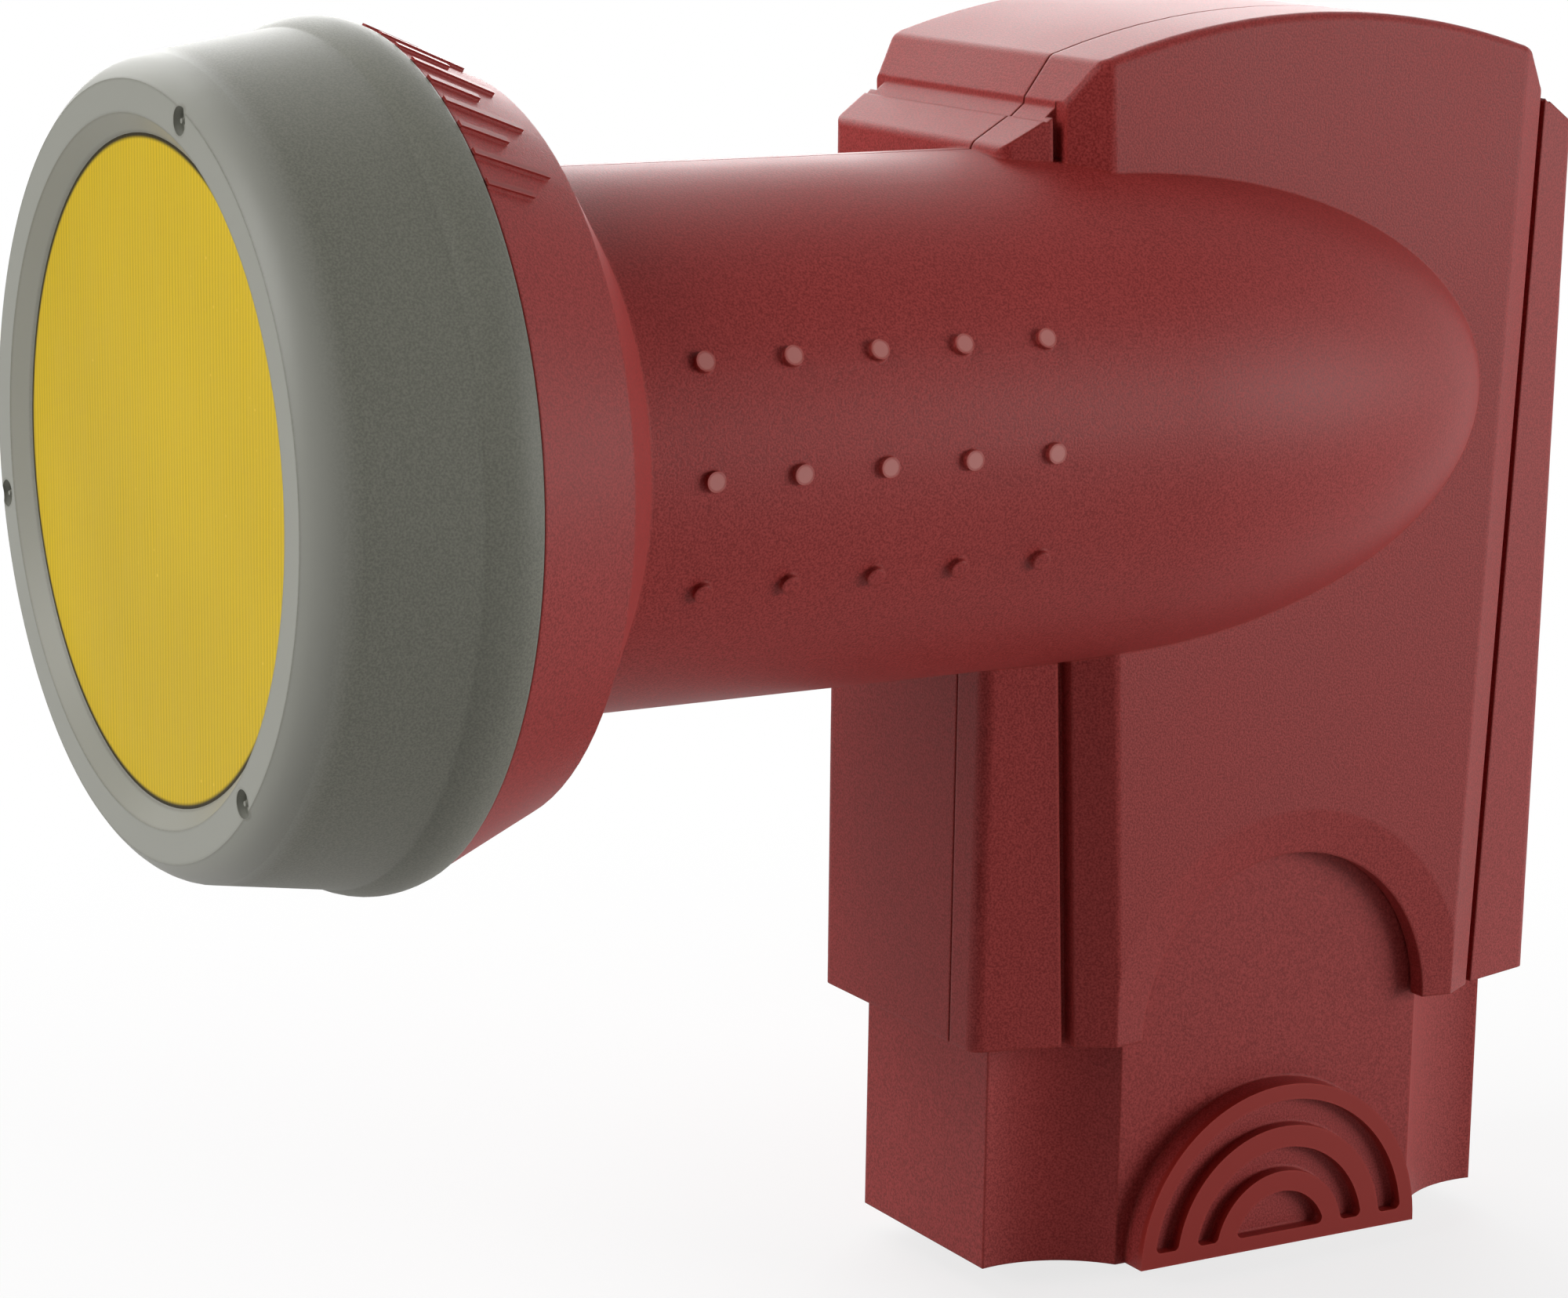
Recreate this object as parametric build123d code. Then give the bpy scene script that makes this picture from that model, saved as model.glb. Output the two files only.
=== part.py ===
from build123d import *
import math
import os

# Satellite LNB: feed horn, converter and a two-part housing with a sliding weather cover.
# Frame: the neck axis is Y, the feed looks towards -Y and +Z is up. Millimetres.
# The origin lies on the neck axis in the middle of the zone that the dish clamp grips.

# Neck, its clamp zone and the pointed fairing behind it
NECK_R = 20.0
NECK_WALL = 2.0
CLAMP_LENGTH = 38.0
NOSE_START_IN = 8.0
NOSE_REAR_IN = 8.3
BUMP_R = 0.75
BUMP_HEIGHT = 0.45
BUMP_PITCH = 7.05
BUMP_COLUMNS = 5
BUMP_ANGLES = (24.0, 0.3, -23.4)
RIB_HALF = 1.0

# Skirt in front of the neck, from its rear band to the spigot under the cap ring
SKIRT_R = 30.6
SKIRT_RUN = 8.6
CREASE_DROP = 3.6
BAND_RUN = 5.0
SPIGOT_STEP = 2.9
SPIGOT_LENGTH = 9.3
MARK_STEP = 5.0
MARKS_EACH_SIDE = 9
MARK_LONG = 7.0
MARK_SHORT = 4.4
MARK_WIDTH = 0.55
MARK_HEIGHT = 0.3

# Cap ring, feed cover and the seal behind it
LIP_DEPTH = 1.2
LIP_WIDTH = 1.75
LIP_SLOPE = 1.4
COVER_IN = 5.4
COVER_THICK = 1.6
SEAL_DEPTH = 1.25
SEAL_IN = 0.5
CAP_FRONT_IN = 3.4
CAP_SHOULDER_IN = 1.7
CAP_SHOULDER_RUN = 2.4
CAP_SHOULDER_CROWN = 0.2
CAP_WAIST_IN = 0.25
CAP_WAIST_RUN = 4.0
CAP_BULGE_OUT = 0.5
CAP_BULGE_RUN = 1.6
CAP_REAR_OUT = 0.2
CAP_REAR_GAP = 0.15
GATE_RING_IN = 4.25
GATE_DIMPLE_R = 1.0
GATE_DIMPLE_DEPTH = 0.7
GATE_PIP_R = 0.35
GATE_PIP_HEIGHT = 0.55
GATE_ANGLE = 72.0
GATES = 3

# Body of the housing
BODY_LENGTH = 55.1
BODY_DEPTH = 50.4
SHOULDER_RISE = 0.4
DOME_RISE = 9.8
SHOULDER_STEPS = ((3.3, 2.0), (3.5, 1.9), (4.7, 2.9), (4.75, 3.4), (7.0, 6.5))
SHOULDER_ROUND = 1.0
DOME_EDGE_ROUND = 0.7
PAD_HALF = 15.5
PAD_EDGE_IN = 11.2
FACET_STEP = 1.8
RIDGE_STEP = 2.3
RIDGE_IN = 7.2
RIDGE_SLOPE = 0.25
GROOVE_DEPTH = 0.9
GROOVE_WIDTH = 0.9
SIDE_TAPER = 3.6
CORNER_ROUND = 1.2
PAD_ROUND = 0.8
FRONT_WALL = 1.5
SIDE_WALL = 2.0
TOP_WALL = 2.0
SEAM_GAP = 0.2

# Weather slider and its fan-shaped grips
TRAVEL = 19.0
SLIDER_HEIGHT = 34.0
SLIDER_WALL = 1.5
SLIDER_GAP = 0.3
SLIDER_FLAT_IN = 4.1
SLIDER_FRONT_IN = 3.0
SLIDER_SIDE_IN = 13.0
SCOOP_DEPTH = 1.5
HOOK_HALF = 6.0
HOOK_HEIGHT = 3.0
HOOK_REACH = 0.9
HOOK_ROOT = 0.2
STOP_GAP = 0.2
GRIP_R = 13.6
GRIP_RIM = 1.3
GRIP_RIBS = ((10.1, 8.3), (6.3, 4.6))
GRIP_BAR = 1.2
GRIP_RECESS = 1.1
GRIP_CORNER = 0.5
THUMB_DISH_R = 17.4
THUMB_DISH_DEPTH = 0.5

# Feed horn, waveguide and electronics tray, cast in one
GUIDE_R = 8.75
GUIDE_WALL = 2.0
THROAT_IN = 2.0
HORN_RIM_THICK = 2.6
HORN_RIM_EASE = 0.7
HORN_RIM_WIDTH = 5.0
HORN_WALL = 2.2
HORN_STEPS = 3
HORN_COLLAR = 1.0
TRAY_FLOOR_OUT = 0.25
TRAY_FLOOR_THICK = 2.0
TRAY_DEPTH = 6.2
TRAY_END_GAP = 1.1
TRAY_WALL = 1.5
TRAY_TOP_RISE = 1.6
TRAY_TOP_WALL = 5.0
CHAMBER_HALF = 6.0
CHAMBER_GAP = 0.7
CHAMBER_HEIGHT = 20.0
SHELF_RISE = 6.4
SHELF_THICK = 6.0

# Lid, gasket, screws and converter board of the tray
LID_THICK = 1.2
GASKET_THICK = 0.4
GASKET_WIDTH = 1.4
SCREW_R = 1.0
SCREW_LENGTH = 4.0
SCREW_HEAD_R = 1.9
SCREW_HEAD_THICK = 0.5
SCREW_HEAD_CLEAR = 0.4
SCREW_IN = 4.0
SCREW_BY_TAIL = 1.6
BOARD_THICK = 1.0
BOARD_MARGIN = 0.3
BOARD_PARTS = {
    "oscillator_can": (11.0, (4.0, 11.0, 8.0)),
    "mixer_chip": (4.2, (0.9, 4.0, 4.0)),
    "switch_chip": (-5.5, (0.9, 5.0, 5.0)),
    "regulator_chip": (-12.5, (1.6, 6.0, 5.0)),
}
COIL_R = 2.2
COIL_HEIGHT = 1.8
COIL_Z = (-25.0, -19.0)

# Pickup probes in the waveguide
PIN_R = 0.6
SLEEVE_R = 1.6
PROBE_OFFSET = 1.4
PROBE_PITCH = 3.5
PROBE_REACH = 4.5
BACK_SHORT = 3.0

# F connectors: 3/8-32 thread, drawn at its outer diameter
THREAD_R = 4.7625
CONNECTOR_FRONT_IN = 11.2
CONNECTOR_REAR_IN = 16.5
CONNECTOR_OUT = 11.1
END_CHAMFER = 0.6
HEX_MARGIN = 1.475
HEX_HEIGHT = 2.5
TAIL_STEP = 0.8625
TAIL_WALL = 0.5
WASHER_IN = 0.1
WASHER_THICK = 1.0
CORE_SUNK = 2.0
CONTACT_R = 0.9
CONTACT_SUNK = 0.5
ARM_R = 0.4
ARM_RISE = 6.0

# Clearances, how far a cut runs past the face that it opens, and when two points count as one
EASE = 0.1
RIB_EASE = 0.2
CAP_EASE = 0.3
OVER = 1.0
SAME_SPOT = 0.001

# Worked-out places along the neck, from the body forward to the lip of the cap ring
FRONT_Y = CLAMP_LENGTH / 2
NECK_FRONT = -CLAMP_LENGTH / 2
CREASE_Y = NECK_FRONT - BAND_RUN
SKIRT_FRONT = CREASE_Y - SKIRT_RUN
SPIGOT_FRONT = SKIRT_FRONT - SPIGOT_LENGTH
RIM_FRONT = SPIGOT_FRONT - HORN_RIM_THICK
COVER_BACK = RIM_FRONT - SEAL_DEPTH
COVER_FRONT = COVER_BACK - COVER_THICK
LIP_FRONT = COVER_FRONT - LIP_DEPTH
CAP_REAR = SKIRT_FRONT - CAP_REAR_GAP

# Worked-out radii of the turned pieces
CREASE_R = SKIRT_R - CREASE_DROP
SPIGOT_R = SKIRT_R - SPIGOT_STEP
COVER_R = SKIRT_R - COVER_IN
LIP_R = COVER_R - LIP_WIDTH
HORN_RIM_R = SPIGOT_R - HORN_RIM_EASE
HORN_MOUTH_R = HORN_RIM_R - HORN_RIM_WIDTH
GUIDE_OUT_R = GUIDE_R + GUIDE_WALL
TAIL_R = THREAD_R - TAIL_STEP
BORE_R = TAIL_R - TAIL_WALL
HEX_HALF = THREAD_R + HEX_MARGIN / 2

# Worked-out places of the body, the slider and the tray
BODY_Y = FRONT_Y + BODY_LENGTH / 2
REAR_Y = FRONT_Y + BODY_LENGTH
NOSE_START = FRONT_Y + NOSE_START_IN
NOSE_LENGTH = REAR_Y - NOSE_REAR_IN - NOSE_START
SHOULDER_Z = NECK_R + SHOULDER_RISE
DOME_Z = SHOULDER_Z + DOME_RISE
BOTTOM_Z = -BODY_DEPTH
SLIDER_BOTTOM = BOTTOM_Z - TRAVEL
SLIDER_TOP = SLIDER_BOTTOM + SLIDER_HEIGHT
LEDGE_Z = SLIDER_TOP - HOOK_HEIGHT - STOP_GAP
SLIDER_SIDE_HALF = PAD_HALF - SIDE_WALL - SLIDER_GAP
SHELF_Z = BOTTOM_Z + SHELF_RISE
SHELF_TOP = SHELF_Z + SHELF_THICK
CHAMBER_TOP = SHELF_Z + CHAMBER_HEIGHT
TRAY_TOP = SHOULDER_Z + TRAY_TOP_RISE
TRAY_HALF = BODY_LENGTH / 2 - SLIDER_SIDE_IN - TRAY_END_GAP
TRAY_FRONT = BODY_Y - TRAY_HALF
TRAY_REAR = BODY_Y + TRAY_HALF
TRAY_FLOOR_X = -GUIDE_OUT_R - TRAY_FLOOR_OUT
TRAY_OUT_X = TRAY_FLOOR_X - TRAY_DEPTH
BOARD_X = TRAY_FLOOR_X - BOARD_THICK
LID_X = TRAY_OUT_X - GASKET_THICK - LID_THICK
SCREW_HEAD_X = LID_X - SCREW_HEAD_THICK
BODY_X = SCREW_HEAD_X - SCREW_HEAD_CLEAR - SLIDER_WALL + SLIDER_SIDE_HALF
STRAIGHT_PROBE_Y = BODY_Y + PROBE_OFFSET
REFLECTOR_Y = STRAIGHT_PROBE_Y - PROBE_PITCH
BENT_PROBE_Y = REFLECTOR_Y - PROBE_PITCH
GUIDE_END = STRAIGHT_PROBE_Y + BACK_SHORT
GUIDE_REAR = GUIDE_END + GUIDE_WALL
CONNECTOR_Y = (FRONT_Y + CONNECTOR_FRONT_IN, REAR_Y - CONNECTOR_REAR_IN)
CONNECTOR_END = BOTTOM_Z - CONNECTOR_OUT
HEX_BOTTOM = SHELF_Z - WASHER_THICK - HEX_HEIGHT
ARM_Z = SHELF_TOP + ARM_RISE
CORNER_SIGNS = ((1, 1), (1, -1), (-1, -1), (-1, 1))


def turned(profile):
    """Solid turned about the neck axis from (Y, radius) points."""
    points = [(radius, y) for y, radius in profile]
    return revolve(make_face(Polyline(*points, close=True)), Axis.Y)


def block(x, y, z):
    """Box between two X, two Y and two Z values."""
    size = (x[1] - x[0], y[1] - y[0], z[1] - z[0])
    centre = ((x[0] + x[1]) / 2, (y[0] + y[1]) / 2, (z[0] + z[1]) / 2)
    return Pos(*centre) * Box(*size)


def upright(x, y, radius, bottom, top):
    """Cylinder along Z between two heights."""
    return Pos(x, y, (bottom + top) / 2) * Cylinder(radius, top - bottom)


def crossways(y, z, radius, x0, x1):
    """Cylinder along X between two X values."""
    return Pos((x0 + x1) / 2, y, z) * Rot(0, 90, 0) * Cylinder(radius, x1 - x0)


def plan_ring(corner):
    """Closed plan outline from one corner's (half width, inset from the front) points."""
    ring = []
    for side, end in CORNER_SIGNS:
        points = [(BODY_X + side * half, BODY_Y - end * (BODY_LENGTH / 2 - inset)) for half, inset in corner]
        ring += points if side * end > 0 else points[::-1]
    return ring


def corners_at(face, spots):
    """Corners of a flat face that lie on the given points."""
    return [v for v in face.vertices() if any(math.dist((v.X, v.Y), spot) < SAME_SPOT for spot in spots)]


def plan_face(corner, z, rounds=()):
    """Plan face at height z, with the given corner points rounded."""
    face = make_face(Polyline(*plan_ring(corner), close=True))
    for index, radius in rounds:
        face = fillet(corners_at(face, plan_ring([corner[index]])), radius)
    return Pos(0, 0, z) * face


def outer_corner(shift):
    """One outer corner: front flat, slanted ridge, groove, facet and the raised pad."""
    ridge = RIDGE_IN - shift
    ridge_half = PAD_HALF - RIDGE_STEP
    groove_half = ridge_half - GROOVE_DEPTH
    return ((ridge_half - RIDGE_SLOPE * ridge, 0), (ridge_half, ridge), (groove_half, ridge),
            (groove_half, ridge + GROOVE_WIDTH), (PAD_HALF - FACET_STEP, ridge + GROOVE_WIDTH),
            (PAD_HALF, PAD_EDGE_IN - shift))


def inner_corner(shift):
    """One corner of the cavity, kept a wall's thickness inside the groove."""
    knee_half = PAD_HALF - RIDGE_STEP - GROOVE_DEPTH - FRONT_WALL + EASE
    knee_in = RIDGE_IN + GROOVE_WIDTH + EASE - shift
    slope = RIDGE_SLOPE - EASE / 2
    return ((knee_half - slope * (knee_in - FRONT_WALL), FRONT_WALL), (knee_half, knee_in),
            (PAD_HALF - SIDE_WALL, PAD_EDGE_IN + SIDE_WALL - shift))


def side_outline(wall_front, wall_top, bottom, stepped):
    """Side view of the body: straight ends, stepped shoulders and an arched top."""
    step_in, step_up = SHOULDER_STEPS[-1]
    start = [(FRONT_Y + wall_front, bottom), (FRONT_Y + wall_front, SHOULDER_Z - wall_top / 2)]
    if stepped:
        start += [(FRONT_Y + run, SHOULDER_Z + rise) for run, rise in SHOULDER_STEPS]
    else:
        start.append((FRONT_Y + step_in + wall_front, SHOULDER_Z + step_up - wall_top))
    finish = [(2 * BODY_Y - y, z) for y, z in reversed(start)]
    arch = ThreePointArc(start[-1], (BODY_Y, DOME_Z - wall_top), finish[0])
    outline = Polyline(*start) + arch + Polyline(*finish) + Line(finish[-1], start[0])
    face = make_face(outline)
    if stepped:
        face = fillet(corners_at(face, (start[1], start[-1], finish[0], finish[-2])), SHOULDER_ROUND)
    return Plane.YZ * face


def tapered_plan(corner, z, rounds):
    """Plan face at a height; the pads' edges move out evenly from the bottom to the dome."""
    return plan_face(corner(SIDE_TAPER * (z - BOTTOM_Z) / (DOME_Z - BOTTOM_Z)), z, rounds)


def body_block(wall_front, wall_top, bottom, corner, rounds=(), stepped=False):
    """Body-shaped solid: the side view carried across X, trimmed to the tapering plan."""
    side = extrude(side_outline(wall_front, wall_top, bottom, stepped), 2 * PAD_HALF, both=True)
    plans = [tapered_plan(corner, z, rounds) for z in (BOTTOM_Z - OVER, DOME_Z + OVER)]
    return (Pos(BODY_X, 0, 0) * side) & loft(plans, ruled=True)


def soften_dome(body):
    """Round the two long edges where the arched top meets the side pads."""
    sides = (BODY_X + PAD_HALF, BODY_X - PAD_HALF)
    arcs = [e for e in body.edges() if e.center().Z > SHOULDER_Z and e.length > BODY_LENGTH / 2]
    picked = [e for e in arcs if any(abs(e.center().X - side) < EASE for side in sides)]
    return fillet(picked, DOME_EDGE_ROUND)


def neck_block(radius, nose_wall, front):
    """Neck cylinder that runs back into a half ellipsoid, turned from the far side."""
    length = NOSE_LENGTH - nose_wall
    nose = EllipticalCenterArc((0, NOSE_START), radius, length, start_angle=90, arc_size=90)
    sides = Polyline((0, NOSE_START + length), (0, front), (-radius, front), (-radius, NOSE_START))
    return revolve(make_face(sides + nose), Axis.Y)


def skirt_block():
    """Cone behind the cap ring, with a steep rear band and the spigot that the ring snaps over."""
    return turned(((SPIGOT_FRONT, 0), (SPIGOT_FRONT, SPIGOT_R), (SKIRT_FRONT, SPIGOT_R),
                   (SKIRT_FRONT, SKIRT_R), (CREASE_Y, CREASE_R), (NECK_FRONT, NECK_R), (NECK_FRONT, 0)))


def skirt_hollow():
    """Space inside the skirt and spigot."""
    shift = NECK_WALL / 2
    return turned(((SPIGOT_FRONT - OVER, 0), (SPIGOT_FRONT - OVER, SPIGOT_R - NECK_WALL),
                   (SKIRT_FRONT, SPIGOT_R - NECK_WALL), (CREASE_Y - shift, CREASE_R - NECK_WALL),
                   (NECK_FRONT - shift, NECK_R - NECK_WALL), (NECK_FRONT - shift, 0)))


def grip_bumps(side):
    """Rows of round bumps where the clamp grips the neck, on one side."""
    bump = crossways(0, 0, BUMP_R, NECK_R - NECK_WALL / 2, NECK_R + BUMP_HEIGHT)
    bumps = []
    for angle in BUMP_ANGLES:
        turn = angle if side > 0 else 180 - angle
        for column in range(BUMP_COLUMNS):
            y = (column - (BUMP_COLUMNS - 1) / 2) * BUMP_PITCH
            bumps.append(Pos(0, y, 0) * Rot(0, -turn, 0) * bump)
    return bumps


def tilt_marks(side):
    """Raised marks of the tilt scale on top of the skirt, long at each second step."""
    fall = math.degrees(math.atan2(CREASE_DROP, SKIRT_RUN))
    marks = []
    for index in range(1, MARKS_EACH_SIDE + 1):
        length = MARK_SHORT if index % 2 else MARK_LONG
        bar = Pos(0, length / 2, 0) * Box(2 * MARK_HEIGHT, length, MARK_WIDTH)
        placed = Pos(SKIRT_R, SKIRT_FRONT, 0) * Rot(0, 0, fall) * bar
        marks.append(Rot(0, -(90 - side * index * MARK_STEP), 0) * placed)
    return marks


def guide_ribs():
    """Two rings inside the neck, under its outer bumps, that centre the waveguide."""
    reach = BUMP_PITCH * (BUMP_COLUMNS - 1) / 2
    low = GUIDE_OUT_R + RIB_EASE
    high = NECK_R - NECK_WALL / 2
    ribs = []
    for y in (-reach, reach):
        front, rear = y - RIB_HALF, y + RIB_HALF
        ribs.append(turned(((front, low), (front, high), (rear, high), (rear, low))))
    return ribs


def slider_plan(grow):
    """Plan of the slider: four flats joined by scooped corners, grown outwards by a gap."""
    flat = (SLIDER_SIDE_HALF - SLIDER_FLAT_IN, SLIDER_FRONT_IN)
    wall = (SLIDER_SIDE_HALF, SLIDER_SIDE_IN)
    chord = math.dist(flat, wall)
    mid = ((flat[0] + wall[0]) / 2 - SCOOP_DEPTH * (wall[1] - flat[1]) / chord,
           (flat[1] + wall[1]) / 2 + SCOOP_DEPTH * (wall[0] - flat[0]) / chord)
    ring = plan_ring((flat, mid, wall))
    edges = []
    for index in range(0, len(ring), 3):
        edges.append(ThreePointArc(*ring[index:index + 3]))
        edges.append(Line(ring[index + 2], ring[(index + 3) % len(ring)]))
    face = make_face(edges)
    return offset(face, grow) if grow else face


def grip_solid(side, radius, x_in, x_out, bottom):
    """Half-disc block between two distances from the body's middle plane."""
    half_disc = Plane.YZ * (Circle(radius) & Pos(0, radius) * Rectangle(2 * radius, 2 * radius))
    start = Pos(BODY_X + side * x_in, BODY_Y, bottom)
    return extrude(start * half_disc, side * (x_out - x_in))


def make_housing():
    """Both half shells, with the slider's guide, arch cut-outs and inner ribs."""
    rounds = ((0, CORNER_ROUND), (5, PAD_ROUND))
    shell = soften_dome(body_block(0, 0, BOTTOM_Z, outer_corner, rounds, True))
    shell += neck_block(NECK_R, 0, NECK_FRONT)
    shell += skirt_block()
    shell -= body_block(FRONT_WALL, TOP_WALL, LEDGE_Z, inner_corner)
    shell -= neck_block(NECK_R - NECK_WALL, NECK_WALL, SKIRT_FRONT)
    shell -= skirt_hollow()
    shell -= extrude(Pos(0, 0, BOTTOM_Z - OVER) * slider_plan(SLIDER_GAP), LEDGE_Z - BOTTOM_Z + 2 * OVER)
    for side in (1, -1):
        arch_r = GRIP_R + SLIDER_GAP
        shell -= grip_solid(side, arch_r, SLIDER_SIDE_HALF - OVER, PAD_HALF + OVER, BOTTOM_Z - EASE)
        dish = Pos(BODY_X + side * (PAD_HALF - THUMB_DISH_DEPTH / 2), BODY_Y, BOTTOM_Z)
        shell -= dish * Rot(0, side * 90, 0) * Cone(GRIP_R, THUMB_DISH_R, THUMB_DISH_DEPTH)
    for rib in guide_ribs():
        shell += rib
    return shell


def make_shells():
    """Near and far half shells, parted at the plane of the neck axis."""
    whole = make_housing()
    halves = {}
    for name, side, keep in (("right_shell", 1, Keep.TOP), ("left_shell", -1, Keep.BOTTOM)):
        half = split(whole, Plane.YZ.offset(side * SEAM_GAP / 2), keep=keep)
        for piece in grip_bumps(side) + tilt_marks(side):
            half += piece
        halves[name] = half
    return halves


def make_slider():
    """Open sleeve with stop hooks at its top and a ribbed fan grip on each side."""
    sleeve = extrude(Pos(0, 0, SLIDER_BOTTOM) * slider_plan(0), SLIDER_HEIGHT)
    sleeve -= extrude(Pos(0, 0, SLIDER_BOTTOM) * slider_plan(-SLIDER_WALL), SLIDER_HEIGHT)
    hook_x = (BODY_X - HOOK_HALF, BODY_X + HOOK_HALF)
    for end, wall in ((-1, FRONT_Y + SLIDER_FRONT_IN), (1, REAR_Y - SLIDER_FRONT_IN)):
        hook_y = sorted((wall - end * HOOK_ROOT, wall + end * HOOK_REACH))
        sleeve += block(hook_x, hook_y, (SLIDER_TOP - HOOK_HEIGHT, SLIDER_TOP))
    for side in (1, -1):
        sleeve += make_grip(side)
    return sleeve


def grip_groove(outer, inner):
    """Outline of one arched groove above the base bar, with rounded corners at its feet."""
    groove = Circle(outer) & Pos(0, GRIP_BAR + outer) * Rectangle(2 * outer, 2 * outer)
    if inner:
        groove -= Circle(inner)
    feet = [v for v in groove.vertices() if abs(v.Y - GRIP_BAR) < SAME_SPOT]
    return fillet(feet, GRIP_CORNER)


def make_grip(side):
    """Half-disc grip: rim, two arched ribs and a base bar stand proud of a sunk floor."""
    floor = PAD_HALF - GRIP_RECESS
    grip = grip_solid(side, GRIP_R, SLIDER_SIDE_HALF - SLIDER_WALL / 2, PAD_HALF, SLIDER_BOTTOM)
    start = Pos(BODY_X + side * floor, BODY_Y, SLIDER_BOTTOM)
    edges = [GRIP_R - GRIP_RIM] + [radius for rib in GRIP_RIBS for radius in rib] + [0]
    for outer, inner in zip(edges[::2], edges[1::2]):
        grip -= extrude(start * (Plane.YZ * grip_groove(outer, inner)), side * (GRIP_RECESS + OVER))
    return grip


def make_cap_ring():
    """Snap ring with a front lip over the feed cover, a crowned shoulder and a bulged rear edge."""
    bore = SPIGOT_R + CAP_EASE
    seat = COVER_R + EASE
    front = (SKIRT_R - CAP_FRONT_IN, LIP_FRONT)
    shoulder = (SKIRT_R - CAP_SHOULDER_IN, LIP_FRONT + CAP_SHOULDER_RUN)
    crown = ((front[0] + shoulder[0]) / 2 + CAP_SHOULDER_CROWN,
             (front[1] + shoulder[1]) / 2 - CAP_SHOULDER_CROWN)
    waist = (SKIRT_R - CAP_WAIST_IN, CAP_REAR - CAP_WAIST_RUN)
    bulge = (SKIRT_R + CAP_BULGE_OUT, CAP_REAR - CAP_BULGE_RUN)
    rear = (SKIRT_R + CAP_REAR_OUT, CAP_REAR)
    inside = Polyline(rear, (bore, CAP_REAR), (bore, RIM_FRONT - EASE), (seat, RIM_FRONT - EASE),
                      (seat, COVER_FRONT), (LIP_R, COVER_FRONT), (LIP_R + LIP_SLOPE, LIP_FRONT), front)
    outside = ThreePointArc(front, crown, shoulder) + Line(shoulder, waist)
    ring = revolve(make_face(inside + outside + ThreePointArc(waist, bulge, rear)), Axis.Y)
    for index in range(GATES):
        place = Rot(0, -(GATE_ANGLE + index * 360 / GATES), 0) * Pos(SKIRT_R - GATE_RING_IN, LIP_FRONT, 0)
        ring -= place * gate_dimple()
    return ring


def gate_dimple():
    """Round dimple in the lip where the moulding gate broke off, less the pip that stands in it."""
    dimple = Cylinder(GATE_DIMPLE_R, 2 * GATE_DIMPLE_DEPTH)
    pip = Cone(GATE_PIP_R, GATE_PIP_R / 2, GATE_PIP_HEIGHT)
    pip = Pos(0, 0, GATE_PIP_HEIGHT / 2 - GATE_DIMPLE_DEPTH) * pip
    return Rot(90, 0, 0) * (dimple - pip)


def make_feed_cover():
    """Thin disc held behind the ring's lip."""
    return turned(((COVER_FRONT, 0), (COVER_FRONT, COVER_R), (COVER_BACK, COVER_R), (COVER_BACK, 0)))


def make_cap_seal():
    """Rubber ring between the feed cover and the rim of the horn."""
    inner = HORN_MOUTH_R + SEAL_IN
    outer = COVER_R - SEAL_IN
    return turned(((COVER_BACK, inner), (COVER_BACK, outer), (RIM_FRONT, outer), (RIM_FRONT, inner)))


def horn_bore():
    """Space inside the stepped horn and the round waveguide."""
    rise = (HORN_MOUTH_R - GUIDE_R) / HORN_STEPS
    throat = NECK_FRONT + THROAT_IN
    run = (RIM_FRONT - throat) / HORN_STEPS
    profile = [(GUIDE_END, 0), (GUIDE_END, GUIDE_R)]
    for index in range(HORN_STEPS):
        depth = throat + run * (index + 1) if index < HORN_STEPS - 1 else RIM_FRONT + HORN_COLLAR
        profile += [(depth, GUIDE_R + rise * index), (depth, GUIDE_R + rise * (index + 1))]
    profile += [(RIM_FRONT - OVER, HORN_MOUTH_R), (RIM_FRONT - OVER, 0)]
    return turned(profile)


def chamber_block(inset, bottom, top):
    """Block over the connectors, as long as the slider's inside leaves room for, made smaller by an inset."""
    half = CHAMBER_HALF - inset
    room = slider_plan(-SLIDER_WALL - CHAMBER_GAP - inset)
    bar = block((BODY_X - half, BODY_X + half), (FRONT_Y, REAR_Y), (bottom, top))
    return bar & extrude(Pos(0, 0, bottom) * room, top - bottom)


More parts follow.
